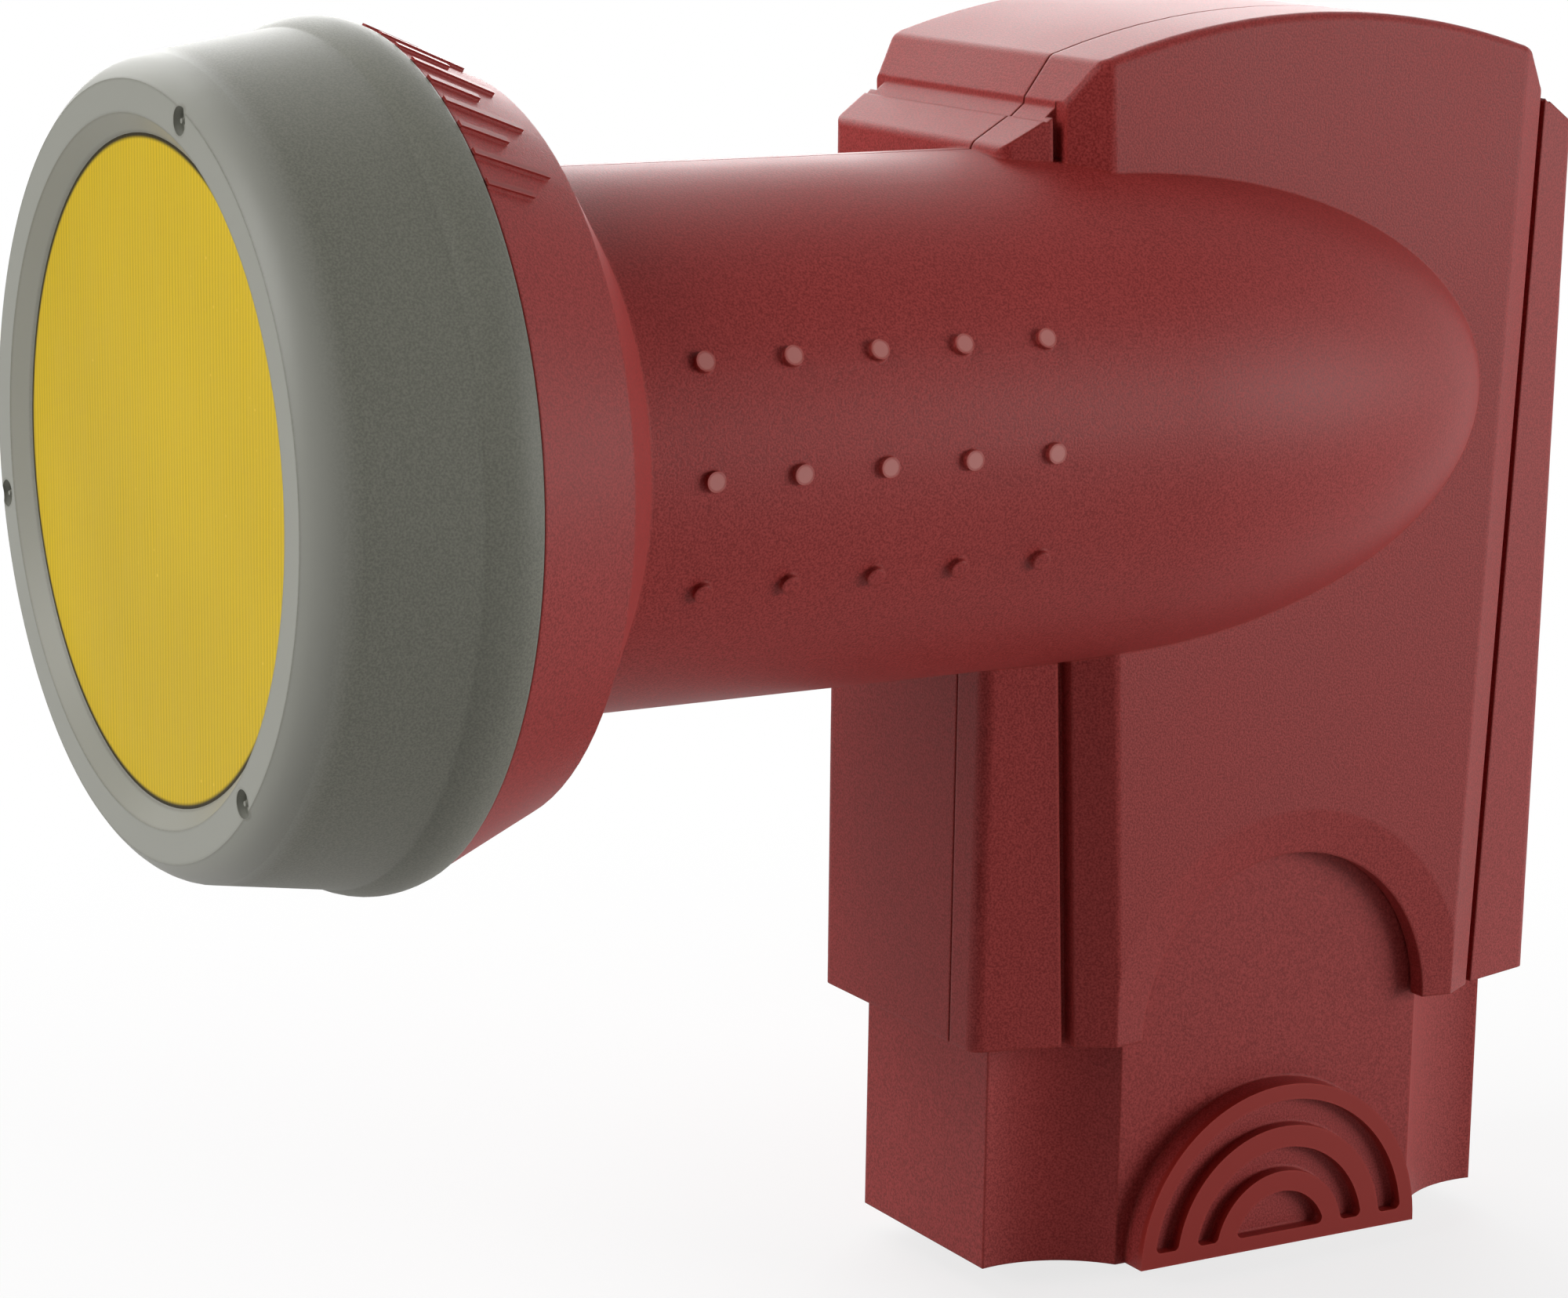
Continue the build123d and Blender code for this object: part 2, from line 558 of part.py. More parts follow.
def make_chassis():
    """Casting: stepped horn, round waveguide, electronics tray and connector shelf."""
    flare_r = HORN_MOUTH_R + HORN_WALL
    cast = turned(((RIM_FRONT, 0), (RIM_FRONT, HORN_RIM_R), (SPIGOT_FRONT, HORN_RIM_R),
                   (SPIGOT_FRONT, flare_r), (SPIGOT_FRONT + HORN_COLLAR, flare_r),
                   (NECK_FRONT + THROAT_IN, GUIDE_OUT_R), (GUIDE_REAR, GUIDE_OUT_R), (GUIDE_REAR, 0)))
    cast += block((TRAY_OUT_X, TRAY_FLOOR_X + TRAY_FLOOR_THICK), (TRAY_FRONT, TRAY_REAR), (SHELF_Z, TRAY_TOP))
    cast += chamber_block(0, SHELF_Z, CHAMBER_TOP)
    cast -= horn_bore()
    cast -= block((TRAY_OUT_X - OVER, TRAY_FLOOR_X), *tray_opening(0))
    cast -= chamber_block(TRAY_WALL, SHELF_TOP, CHAMBER_TOP - TRAY_WALL)
    for y in CONNECTOR_Y:
        cast -= upright(BODY_X, y, TAIL_R, SHELF_Z - OVER, SHELF_TOP + OVER)
    for y in (STRAIGHT_PROBE_Y, BENT_PROBE_Y):
        cast -= crossways(y, 0, SLEEVE_R, TRAY_FLOOR_X - OVER, -GUIDE_R + OVER)
    cast -= upright(0, REFLECTOR_Y, PIN_R, -GUIDE_OUT_R - OVER, GUIDE_OUT_R + OVER)
    for y, z in screw_places():
        cast -= crossways(y, z, SCREW_R, TRAY_OUT_X - OVER, TRAY_OUT_X + SCREW_LENGTH)
    return cast


def tray_opening(grow):
    """Y and Z ends of the tray's open side, grown outwards by a width."""
    return ((TRAY_FRONT + TRAY_WALL - grow, TRAY_REAR - TRAY_WALL + grow),
            (SHELF_TOP - grow, TRAY_TOP - TRAY_TOP_WALL + grow))


def screw_places():
    """Lid screws sit in the thick end walls of the tray, the lower ones between the connectors, as (Y, Z)."""
    aside = TAIL_R + SCREW_BY_TAIL + SCREW_R
    low = SHELF_Z + SHELF_THICK / 2
    high = TRAY_TOP - TRAY_TOP_WALL / 2
    return ((CONNECTOR_Y[0] + aside, low), (CONNECTOR_Y[1] - aside, low),
            (TRAY_FRONT + SCREW_IN, high), (TRAY_REAR - SCREW_IN, high))


def make_tray_lid():
    """Plate as large as the tray, with holes for its screws."""
    lid = block((LID_X, LID_X + LID_THICK), (TRAY_FRONT, TRAY_REAR), (SHELF_Z, TRAY_TOP))
    for y, z in screw_places():
        lid -= crossways(y, z, SCREW_R + EASE, LID_X - OVER, LID_X + LID_THICK + OVER)
    return lid


def make_gasket():
    """Flat frame round the tray's opening, between its rim and the lid."""
    frame = block((TRAY_OUT_X - GASKET_THICK, TRAY_OUT_X), *tray_opening(GASKET_WIDTH))
    return frame - block((TRAY_OUT_X - OVER, TRAY_OUT_X + OVER), *tray_opening(0))


def make_lid_screws():
    """Pan-head screws that hold the lid, one solid each."""
    screws = []
    for y, z in screw_places():
        head = crossways(y, z, SCREW_HEAD_R, SCREW_HEAD_X, LID_X)
        screws.append(head + crossways(y, z, SCREW_R, LID_X, TRAY_OUT_X + SCREW_LENGTH))
    return Compound(children=screws)


def make_board():
    """Converter board on the floor of the tray, pierced for the two probes."""
    board = block((BOARD_X, TRAY_FLOOR_X), *tray_opening(-BOARD_MARGIN))
    for y in (STRAIGHT_PROBE_Y, BENT_PROBE_Y):
        board -= crossways(y, 0, PIN_R, BOARD_X - OVER, TRAY_FLOOR_X + OVER)
    return board


def on_board(z, size):
    """Part in the middle of the board at one height: its thickness, length and width."""
    thick, length, width = size
    return block((BOARD_X - thick, BOARD_X), (BODY_Y - length / 2, BODY_Y + length / 2),
                 (z - width / 2, z + width / 2))


def make_filter_coils():
    """Two small chokes in the supply line, one solid each."""
    coils = []
    for z in COIL_Z:
        ring = Cylinder(COIL_R, COIL_HEIGHT) - Cylinder(COIL_R / 2, COIL_HEIGHT)
        coils.append(Pos(BOARD_X - COIL_HEIGHT / 2, BODY_Y, z) * Rot(0, 90, 0) * ring)
    return Compound(children=coils)


def make_probe(y, bent):
    """Pickup pin from the board into the waveguide; the bent one turns up by a right angle."""
    tip = -GUIDE_R + PROBE_REACH
    pin = crossways(y, 0, PIN_R, BOARD_X - PIN_R, tip)
    if bent:
        pin += Pos(tip, y, 0) * Sphere(PIN_R) + upright(tip, y, PIN_R, 0, PROBE_REACH)
    return pin


def make_sleeve(y):
    """Insulating bush that carries a probe through the waveguide wall."""
    bush = crossways(y, 0, SLEEVE_R, TRAY_FLOOR_X, -GUIDE_R)
    return bush - crossways(y, 0, PIN_R, TRAY_FLOOR_X - OVER, -GUIDE_R + OVER)


def make_connector(y):
    """Threaded barrel with a hexagon below its washer and a tail pressed into the shelf."""
    hexagon = extrude(RegularPolygon(HEX_HALF, 6, major_radius=False), HEX_HEIGHT)
    barrel = upright(BODY_X, y, THREAD_R, CONNECTOR_END, HEX_BOTTOM)
    barrel = chamfer(barrel.edges().group_by(Axis.Z)[0], END_CHAMFER)
    barrel += Pos(BODY_X, y, HEX_BOTTOM) * hexagon
    barrel += upright(BODY_X, y, TAIL_R, HEX_BOTTOM, SHELF_TOP)
    return barrel - upright(BODY_X, y, BORE_R, CONNECTOR_END - OVER, SHELF_TOP + OVER)


def make_insulator(y):
    """Plastic core of a connector, with a socket mouth a little inside the barrel's end."""
    core = upright(BODY_X, y, BORE_R, CONNECTOR_END + CORE_SUNK, SHELF_TOP)
    return core - upright(BODY_X, y, CONTACT_R, CONNECTOR_END, SHELF_TOP + OVER)


def make_contact(y):
    """Socket tube for the cable's core, with a pin and an arm that reach the back of the board."""
    low = CONNECTOR_END + CORE_SUNK + CONTACT_SUNK
    tube = upright(BODY_X, y, CONTACT_R, low, SHELF_TOP)
    tube -= upright(BODY_X, y, CONTACT_R / 2, low - OVER, SHELF_Z)
    pin = upright(BODY_X, y, ARM_R, SHELF_TOP, ARM_Z) + Pos(BODY_X, y, ARM_Z) * Sphere(ARM_R)
    run_x = TRAY_FLOOR_X + ARM_R - BODY_X
    run_y = min(max(y, TRAY_FRONT + SCREW_IN), TRAY_REAR - SCREW_IN) - y
    length = math.hypot(run_x, run_y)
    arm = Pos(BODY_X, y, ARM_Z) * Rot(0, 0, math.degrees(math.atan2(run_y, run_x))) * Rot(0, 90, 0)
    return tube + pin + arm * Pos(0, 0, length / 2) * Cylinder(ARM_R, length)


def make_connector_seal(y):
    """Rubber washer squeezed between the hexagon and the shelf."""
    washer = upright(BODY_X, y, HEX_HALF - WASHER_IN, SHELF_Z - WASHER_THICK, SHELF_Z)
    return washer - upright(BODY_X, y, TAIL_R, SHELF_Z - WASHER_THICK - OVER, SHELF_Z + OVER)


def make_pieces():
    """Every piece of the LNB by its name."""
    pieces = make_shells()
    pieces["weather_slider"] = make_slider()
    pieces["cap_ring"] = make_cap_ring()
    pieces["feed_cover"] = make_feed_cover()
    pieces["cap_seal"] = make_cap_seal()
    pieces["horn_chassis"] = make_chassis()
    pieces["tray_gasket"] = make_gasket()
    pieces["tray_lid"] = make_tray_lid()
    pieces["lid_screws"] = make_lid_screws()
    pieces["circuit_board"] = make_board()
    for name, (z, size) in BOARD_PARTS.items():
        pieces[name] = on_board(z, size)
    pieces["filter_coils"] = make_filter_coils()
    pieces["straight_probe"] = make_probe(STRAIGHT_PROBE_Y, False)
    pieces["bent_probe"] = make_probe(BENT_PROBE_Y, True)
    pieces["straight_probe_sleeve"] = make_sleeve(STRAIGHT_PROBE_Y)
    pieces["bent_probe_sleeve"] = make_sleeve(BENT_PROBE_Y)
    pieces["reflector_pin"] = upright(0, REFLECTOR_Y, PIN_R, -GUIDE_OUT_R, GUIDE_OUT_R)
    for place, y in zip(("front", "rear"), CONNECTOR_Y):
        pieces[place + "_connector"] = make_connector(y)
        pieces[place + "_insulator"] = make_insulator(y)
        pieces[place + "_contact"] = make_contact(y)
        pieces[place + "_connector_seal"] = make_connector_seal(y)
    return pieces


if __name__ == "__main__":
    os.makedirs("parts", exist_ok=True)
    for name, piece in make_pieces().items():
        export_step(piece, os.path.join("parts", name + ".step"))
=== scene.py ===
"""Looks of a satellite LNB: the finish of every piece, its threaded connectors, studio and camera."""
import logging
import math
from dataclasses import dataclass
from enum import Enum
from typing import ClassVar

import bpy
import numpy as np
from mathutils import Matrix, Vector


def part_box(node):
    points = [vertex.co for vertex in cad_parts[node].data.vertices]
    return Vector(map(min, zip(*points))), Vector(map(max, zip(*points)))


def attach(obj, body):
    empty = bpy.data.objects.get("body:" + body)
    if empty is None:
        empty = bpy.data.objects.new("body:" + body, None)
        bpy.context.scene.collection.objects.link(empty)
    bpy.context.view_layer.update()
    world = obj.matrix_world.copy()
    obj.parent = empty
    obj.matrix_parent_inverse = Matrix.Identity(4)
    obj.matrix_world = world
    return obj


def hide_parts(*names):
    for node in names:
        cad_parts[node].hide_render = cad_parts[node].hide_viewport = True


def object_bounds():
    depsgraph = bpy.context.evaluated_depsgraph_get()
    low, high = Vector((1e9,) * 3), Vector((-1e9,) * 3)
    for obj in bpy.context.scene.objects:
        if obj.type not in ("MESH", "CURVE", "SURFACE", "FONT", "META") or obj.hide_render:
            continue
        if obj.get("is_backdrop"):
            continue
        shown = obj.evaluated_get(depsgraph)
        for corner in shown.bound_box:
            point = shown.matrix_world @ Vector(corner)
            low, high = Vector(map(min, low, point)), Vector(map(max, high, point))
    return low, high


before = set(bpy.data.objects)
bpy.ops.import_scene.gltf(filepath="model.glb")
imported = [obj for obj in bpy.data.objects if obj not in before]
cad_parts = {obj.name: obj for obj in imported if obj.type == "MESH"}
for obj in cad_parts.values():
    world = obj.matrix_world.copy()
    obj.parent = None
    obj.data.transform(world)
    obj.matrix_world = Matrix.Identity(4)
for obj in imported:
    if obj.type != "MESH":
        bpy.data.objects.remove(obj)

MM = 0.001
FULL_TURN = 2 * math.pi
IMAGE_WIDTH_PX = 2000
SENSOR_WIDTH_MM = 36.0
NEAR_CLIP = 10 * MM
SHARP_ANGLE = math.radians(35)
ROUNDING_SAMPLES = 4
NOISE_MEAN = 0.5

Colour = tuple[float, float, float]
Range = tuple[float, float]
Socket = bpy.types.NodeSocket
log = logging.getLogger("lnb")

# How far a rounded normal leaves the face's own where an edge starts and where it is full: one less the cosine
EDGE_TURN = (0.01, 0.2)
RIM_TURN = (0.002, 0.06)

WHITE = (1.0, 1.0, 1.0)
RED = (0.31, 0.024, 0.021)
DEEP_RED = (0.33, 0.023, 0.016)
# Lighter red along every edge of the shells and cover: painted highlight
EDGE_HIGHLIGHT_RED = (0.42, 0.03, 0.018)
# Pale tops of the upper grip bumps: painted highlight
PAINTED_HIGHLIGHT_RED = (0.58, 0.21, 0.19)
MARK_RED = (0.24, 0.016, 0.013)
GREY = (0.205, 0.205, 0.168)
# Lighter grey along the ring's edges: painted highlight
EDGE_HIGHLIGHT_GREY = (0.3, 0.298, 0.26)
# Paler grey of the ring's front lip: painted light from the front
PAINTED_LIGHT_LIP_GREY = (0.34, 0.34, 0.3)
FILM_YELLOW = (0.66, 0.455, 0.014)
# Dark ring at the film's edge: painted shadow in the gap under the lip
PAINTED_GAP_SHADOW = (0.03, 0.022, 0.006)
CHIP_BLACK = (0.02, 0.02, 0.021)
# Lighter black along the chips' edges: painted highlight
CHIP_EDGE_HIGHLIGHT = (0.04, 0.04, 0.04)
TIN = (0.62, 0.6, 0.55)


class Body(Enum):
    """The two bodies that pieces ride on."""

    HOUSING = "housing"
    COVER = "weather_cover"


class Axis(Enum):
    """The three axes of the frame."""

    X = "X"
    Y = "Y"
    Z = "Z"


class Value:
    """A number that varies over a surface: one shader socket with Python arithmetic."""

    def __init__(self, graph: "Graph", socket: Socket) -> None:
        """Keep the socket and the graph that it belongs to."""
        self.graph = graph
        self.socket = socket

    def __add__(self, other: "Value | float") -> "Value":
        """Sum."""
        return self.graph.math("ADD", self, other)

    def __sub__(self, other: "Value | float") -> "Value":
        """Difference."""
        return self.graph.math("SUBTRACT", self, other)

    def __rsub__(self, other: float) -> "Value":
        """Difference from a plain number."""
        return self.graph.math("SUBTRACT", other, self)

    def __mul__(self, other: "Value | float") -> "Value":
        """Product."""
        return self.graph.math("MULTIPLY", self, other)

    __radd__ = __add__
    __rmul__ = __mul__

    def sine(self) -> "Value":
        """Sine of the value in radians."""
        return self.graph.math("SINE", self)

    def swing(self, amount: float) -> "Value":
        """How far a noise pattern leaves its mean, times an amount."""
        return (self - NOISE_MEAN) * amount

    def above(self, low: float, high: float) -> "Value":
        """Smooth step.

        Args:
            low: where the step is 0.
            high: where the step is 1, which may be the smaller number.

        Returns:
            The step's value.
        """
        settings = {"interpolation_type": "SMOOTHSTEP"}
        limits = {"Value": self, "From Min": low, "From Max": high}
        return self.graph.value("ShaderNodeMapRange", settings, limits, "Result")


class Graph:
    """Node tree of one material, or of the room around the object."""

    def __init__(self, owner: "bpy.types.Material | bpy.types.World") -> None:
        """Start the owner's tree afresh."""
        owner.use_nodes = True
        self.tree = owner.node_tree
        self.tree.nodes.clear()

    def node(self, kind: str, settings: dict | None = None, sockets: dict | None = None) -> bpy.types.Node:
        """Add one node.

        Args:
            kind: Blender's type name of the node.
            settings: attributes of the node, set first.
            sockets: values or links of its inputs, by name or index.

        Returns:
            The node.
        """
        node = self.tree.nodes.new(kind)
        for key, setting in (settings or {}).items():
            setattr(node, key, setting)
        for key, given in (sockets or {}).items():
            if isinstance(given, Value):
                self.tree.links.new(given.socket, node.inputs[key])
            elif isinstance(given, Socket):
                self.tree.links.new(given, node.inputs[key])
            else:
                node.inputs[key].default_value = given
        return node

    def value(self, kind: str, settings: dict | None, sockets: dict, output: str | int = 0) -> Value:
        """Add one node and return one of its outputs.

        Args:
            kind: Blender's type name of the node.
            settings: attributes of the node.
            sockets: values or links of its inputs.
            output: name or index of the wanted output.

        Returns:
            The output as a Value.
        """
        return Value(self, self.node(kind, settings, sockets).outputs[output])

    def math(self, operation: str, *terms: "Value | float") -> Value:
        """One Math node on values and numbers."""
        return self.value("ShaderNodeMath", {"operation": operation}, dict(enumerate(terms)))

    def place(self) -> Socket:
        """Object coordinates, in metres."""
        return self.node("ShaderNodeTexCoord").outputs["Object"]

    def axis(self, axis: Axis) -> Value:
        """One Object coordinate."""
        return self.part(self.place(), axis)

    def part(self, vector: Socket, axis: Axis) -> Value:
        """One component of a vector."""
        return self.value("ShaderNodeSeparateXYZ", None, {"Vector": vector}, axis.value)

    def from_axis(self) -> Value:
        """Distance from the neck's axis, which is the Y axis."""
        x, z = self.axis(Axis.X), self.axis(Axis.Z)
        return self.math("SQRT", x * x + z * z)

    def noise(self, size: float, detail: float = 2.0, stretch: Colour = (1, 1, 1)) -> Value:
        """Cloudy pattern about its mean.

        Args:
            size: length of one grain, in metres.
            detail: octaves of finer grain.
            stretch: factors on the grain's density along X, Y and Z.

        Returns:
            The pattern's value.
        """
        placing = {"Vector": self.place(), "Scale": stretch}
        place = self.node("ShaderNodeMapping", None, placing).outputs[0]
        sockets = {"Vector": place, "Scale": 1 / size, "Detail": detail}
        return self.value("ShaderNodeTexNoise", {"noise_dimensions": "3D"}, sockets)

    def cells(self, size: float) -> Value:
        """Distance to the middles of scattered cells, each about one size across."""
        sockets = {"Vector": self.place(), "Scale": 1 / size}
        return self.value("ShaderNodeTexVoronoi", {"feature": "F1"}, sockets, "Distance")

    def shade(self, colour: "Colour | Socket", factor: Value) -> Socket:
        """A colour made lighter or darker by a factor."""
        settings = {"operation": "SCALE"}
        return self.node("ShaderNodeVectorMath", settings, {0: colour, "Scale": factor}).outputs[0]

    def mix(self, first: "Colour | Socket", second: "Colour | Socket", factor: Value) -> Socket:
        """Blend of two colours.

        Args:
            first: colour where the factor is 0.
            second: colour where the factor is 1.
            factor: share of the second colour.

        Returns:
            The blended colour's socket.
        """
        pair = [(*c, 1.0) if isinstance(c, tuple) else c for c in (first, second)]
        sockets = {0: factor, 6: pair[0], 7: pair[1]}
        return self.node("ShaderNodeMix", {"data_type": "RGBA"}, sockets).outputs[2]

    def rounded(self, radius: float) -> Socket:
        """Normal that rounds every edge by a radius in metres."""
        return self.node("ShaderNodeBevel", {"samples": ROUNDING_SAMPLES}, {"Radius": radius}).outputs[0]

    def face(self) -> Socket:
        """The surface's own normal."""
        return self.node("ShaderNodeNewGeometry").outputs["Normal"]

    def turn(self, first: Socket, second: Socket, factor: "Value | float") -> Socket:
        """Normal between two others: the first where the factor is 0, the second where it is 1."""
        sockets = {0: factor, 4: first, 5: second}
        return self.node("ShaderNodeMix", {"data_type": "VECTOR"}, sockets).outputs[1]

    def edges(self, normal: Socket, turn: Range = EDGE_TURN) -> Value:
        """1 along edges and 0 on open faces, from how far a rounded normal leaves the face's own.

        Args:
            normal: the rounded normal.
            turn: how far it leaves where the edge starts and where it is full.

        Returns:
            The share of edge.
        """
        settings = {"operation": "DOT_PRODUCT"}
        agree = self.value("ShaderNodeVectorMath", settings, {0: self.face(), 1: normal}, "Value")
        return (1 - agree).above(*turn)

    def bump(self, height: Value, depth: float, normal: Socket) -> Socket:
        """Normal of a surface whose height varies by a depth in metres, on top of another normal."""
        sockets = {"Height": height, "Distance": depth, "Normal": normal}
        return self.node("ShaderNodeBump", None, sockets).outputs[0]

    def surface(self, sockets: dict) -> None:
        """End the tree with one Principled shader that has these values or links."""
        shader = self.node("ShaderNodeBsdfPrincipled", None, sockets)
        self.node("ShaderNodeOutputMaterial", None, {"Surface": shader.outputs[0]})


@dataclass(frozen=True)
class Finish:
    """What one material looks like; a subclass says how its nodes are wired."""

    name: str
    colour: Colour
    roughness: float

    def material(self) -> bpy.types.Material:
        """Make the material.

        Returns:
            The material, wired.
        """
        material = bpy.data.materials.new(self.name)
        self.wire(Graph(material))
        return material

    def wire(self, graph: Graph) -> None:
        """Add the finish's nodes."""
        raise NotImplementedError


@dataclass(frozen=True)
class MouldedPlastic(Finish):
    """Plastic with a fine moulded texture, and smoother edges that carry a lighter colour as painted
    highlight.
    """

    edge_highlight_colour: Colour
    # Colour where the plastic is smooth; on the housing's upper bump tops it is painted highlight, and on the
    # ring's lip it is painted light
    smooth_or_painted_light_colour: Colour
    grain: float = 0.16 * MM
    grain_depth: float = 0.02 * MM
    grain_range: Range = (0.3, 0.7)
    grain_dulling: float = 0.2
    cloud: float = 14 * MM
    cloud_dulling: float = 0.08
    speckle: float = 0.26
    # Grey lift on the grain's peaks: painted sheen of the textured faces
    painted_sheen: float = 0.08
    mottle: float = 0.08
    edge_round: float = 0.35 * MM
    edge_share: float = 0.7
    smooth_roughness: float = 0.4
    gloss: float = 0.26

    def wire(self, graph: Graph) -> None:
        """Fine grain for colour, roughness and bump, with painted sheen on its peaks; a broad mottle; painted
        highlight along edges; another colour where it is smooth.

        Args:
            graph: nodes of the material.
        """
        fine = graph.noise(self.grain)
        broad = graph.noise(self.cloud, detail=3.0)
        rounded = graph.rounded(self.edge_round)
        pits = tuple(c * (1 - self.speckle) for c in self.colour)
        # The peaks carry the grain's lighter tone and the painted sheen
        peaks = tuple(c * (1 + self.speckle) + self.painted_sheen * self.speckle for c in self.colour)
        speckled = graph.mix(pits, peaks, fine.above(*self.grain_range))
        # Painted highlight: the edge colour, lighter than the faces, goes along every edge, which is also
        # smoother
        edge = graph.edges(rounded) * self.edge_share
        middle = 1 - graph.edges(rounded, RIM_TURN)
        polished = self.polished(graph)
        smooth = graph.math("MAXIMUM", edge, polished)
        textured = self.roughness + fine.swing(self.grain_dulling) + broad.swing(self.cloud_dulling)
        mottled = graph.shade(speckled, 1 + broad.swing(2 * self.mottle))
        colour = graph.mix(mottled, self.edge_highlight_colour, edge)
        crisp = graph.turn(rounded, graph.face(), polished)
        graph.surface({
            "Base Color": graph.mix(colour, self.smooth_colour(graph), polished * middle),
            "Roughness": textured * (1 - smooth) + self.smooth_roughness * smooth,
            "Specular IOR Level": self.gloss,
            "Normal": graph.bump(fine * (1 - polished), self.grain_depth, crisp),
        })

    def polished(self, graph: Graph) -> "Value | float":
        """Share of smooth surface; none on a plain wall."""
        return 0.0

    def smooth_colour(self, graph: Graph) -> "Colour | Socket":
        """Colour where the plastic is smooth."""
        return self.smooth_or_painted_light_colour


@dataclass(frozen=True, kw_only=True)
class NeckedPlastic(MouldedPlastic):
    """The same plastic, with a painted highlight on the tops of the neck's upper grip bumps and dark tilt
    marks on the skirt.
    """

    neck_r: float
    bump_height: float
    zone_half: float
    skirt_r: float
    skirt_front: float
    skirt_run: float
    skirt_fall: float
    mark_height: float
    bump_rise: Range = (0.6, 0.9)
    mark_rise: Range = (0.3, 0.6)
    upper_rows: Range = (-0.3, -0.2)
    zone_fade: float = 1.0 * MM
    cone_fade: float = 0.1 * MM

    def bumps(self, graph: Graph) -> Value:
        """1 where a point in the clamp zone stands proud of the neck, from its distance to the axis.

        Args:
            graph: nodes of the material.

        Returns:
            The share of bump top, on the upper rows only, which face the light and carry the painted
            highlight.
        """
        start, full = (self.neck_r + share * self.bump_height for share in self.bump_rise)
        proud = graph.from_axis().above(start, full)
        along = graph.math("ABSOLUTE", graph.axis(Axis.Y))
        inside = along.above(self.zone_half + self.zone_fade, self.zone_half)
        # Only the upper rows, which face the light, get the painted highlight
        upper = graph.axis(Axis.Z).above(*(share * self.neck_r for share in self.upper_rows))
        return proud * inside * upper

    def marks(self, graph: Graph) -> Value:
        """1 where a point stands proud of the skirt's cone, whose radius falls evenly along Y.

        Args:
            graph: nodes of the material.

        Returns:
            The share of tilt mark.
        """
        along = graph.axis(Axis.Y) - self.skirt_front
        proud = graph.from_axis() - self.skirt_r + along * (self.skirt_fall / self.skirt_run)
        behind_front = along.above(-self.cone_fade, 0.0)
        before_rear = along.above(self.skirt_run, self.skirt_run - self.cone_fade)
        raised = proud.above(*(share * self.mark_height for share in self.mark_rise))
        return raised * (behind_front * before_rear)

    def polished(self, graph: Graph) -> Value:
        """The bumps' tops and the tilt marks."""
        return graph.math("MAXIMUM", self.bumps(graph), self.marks(graph))

    def smooth_colour(self, graph: Graph) -> "Colour | Socket":
        """Painted highlight on the bumps, dark on the marks."""
        return graph.mix(self.smooth_or_painted_light_colour, MARK_RED, self.marks(graph))


@dataclass(frozen=True, kw_only=True)
class LippedPlastic(MouldedPlastic):
    """The same plastic on a ring with a smoother front lip, painted paler as painted light from the front."""

    lip_start: float
    lip_front: float

    def polished(self, graph: Graph) -> Value:
        """Rises from 0 where the lip starts to 1 at its front."""
        return graph.axis(Axis.Y).above(self.lip_start, self.lip_front)


@dataclass(frozen=True, kw_only=True)
class RibbedPlastic(MouldedPlastic):
    """The same plastic, with the ribs of the finger grips smooth between textured grooves."""

    middle: float
    rib_half: float
    groove: float
    rib_rise: Range = (0.7, 0.3)

    def polished(self, graph: Graph) -> Value:
        """1 on the outermost faces, from their distance to the upright plane midway between the grips."""
        out = graph.math("ABSOLUTE", graph.axis(Axis.X) - self.middle)
        return out.above(*(self.rib_half - share * self.groove for share in self.rib_rise))


@dataclass(frozen=True)
class LinedFilm(Finish):
    """Satin film with fine upright lines and a painted shadow at its edge."""

    edge_r: float
    gap: float = 0.5 * MM
    gap_full: float = 0.3
    pitch: float = 0.5 * MM
    contrast: float = 0.2
    line_depth: float = 0.004 * MM
    bend: float = 5.0
    bend_size: float = 3 * MM
    bend_stretch: Colour = (1, 1, 0.3)
    streak: float = 1.2 * MM
    streak_stretch: Colour = (1, 1, 0.25)
    streak_dulling: float = 0.12
    cloud: float = 22 * MM
    cloud_share: float = 0.2
    speck_gap: float = 1.7 * MM
    speck_range: Range = (0.09, 0.04)
    patch: float = 9 * MM
    patch_range: Range = (0.5, 0.62)
    speck_share: float = 0.6
    speck_gain: float = 1.25
    speck_lift: float = 0.08
    edge_round: float = 0.15 * MM
    gloss: float = 0.2

    def wire(self, graph: Graph) -> None:
        """Lines are a sine of X, bent a little by noise, with scattered specks and a broad mottle.

        A painted shadow darkens the film at its edge, in the gap where it goes under the ring's lip.

        Args:
            graph: nodes of the material.
        """
        warp = graph.noise(self.bend_size, stretch=self.bend_stretch)
        lines = (graph.axis(Axis.X) * (FULL_TURN / self.pitch) + warp * self.bend).sine()
        strength = graph.noise(self.streak, stretch=self.streak_stretch)
        broad = graph.noise(self.cloud, detail=1.0)
        factor = 1 + lines * strength * self.contrast + broad.swing(self.cloud_share)
        patches = graph.noise(self.patch).above(*self.patch_range)
        speck = graph.cells(self.speck_gap).above(*self.speck_range) * patches
        pale = tuple(min(1.0, self.speck_gain * c + self.speck_lift) for c in self.colour)
        specked = graph.mix(graph.shade(self.colour, factor), pale, speck * self.speck_share)
        # Painted shadow: the film darkens where it goes under the lip
        full = self.edge_r - self.gap_full * self.gap
        gap_shadow = graph.from_axis().above(self.edge_r - self.gap, full)
        rounded = graph.rounded(self.edge_round)
        graph.surface({
            "Base Color": graph.mix(specked, PAINTED_GAP_SHADOW, gap_shadow),
            "Roughness": self.roughness + strength.swing(self.streak_dulling),
            "Specular IOR Level": self.gloss,
            "Normal": graph.bump(lines * strength, self.line_depth, rounded),
        })


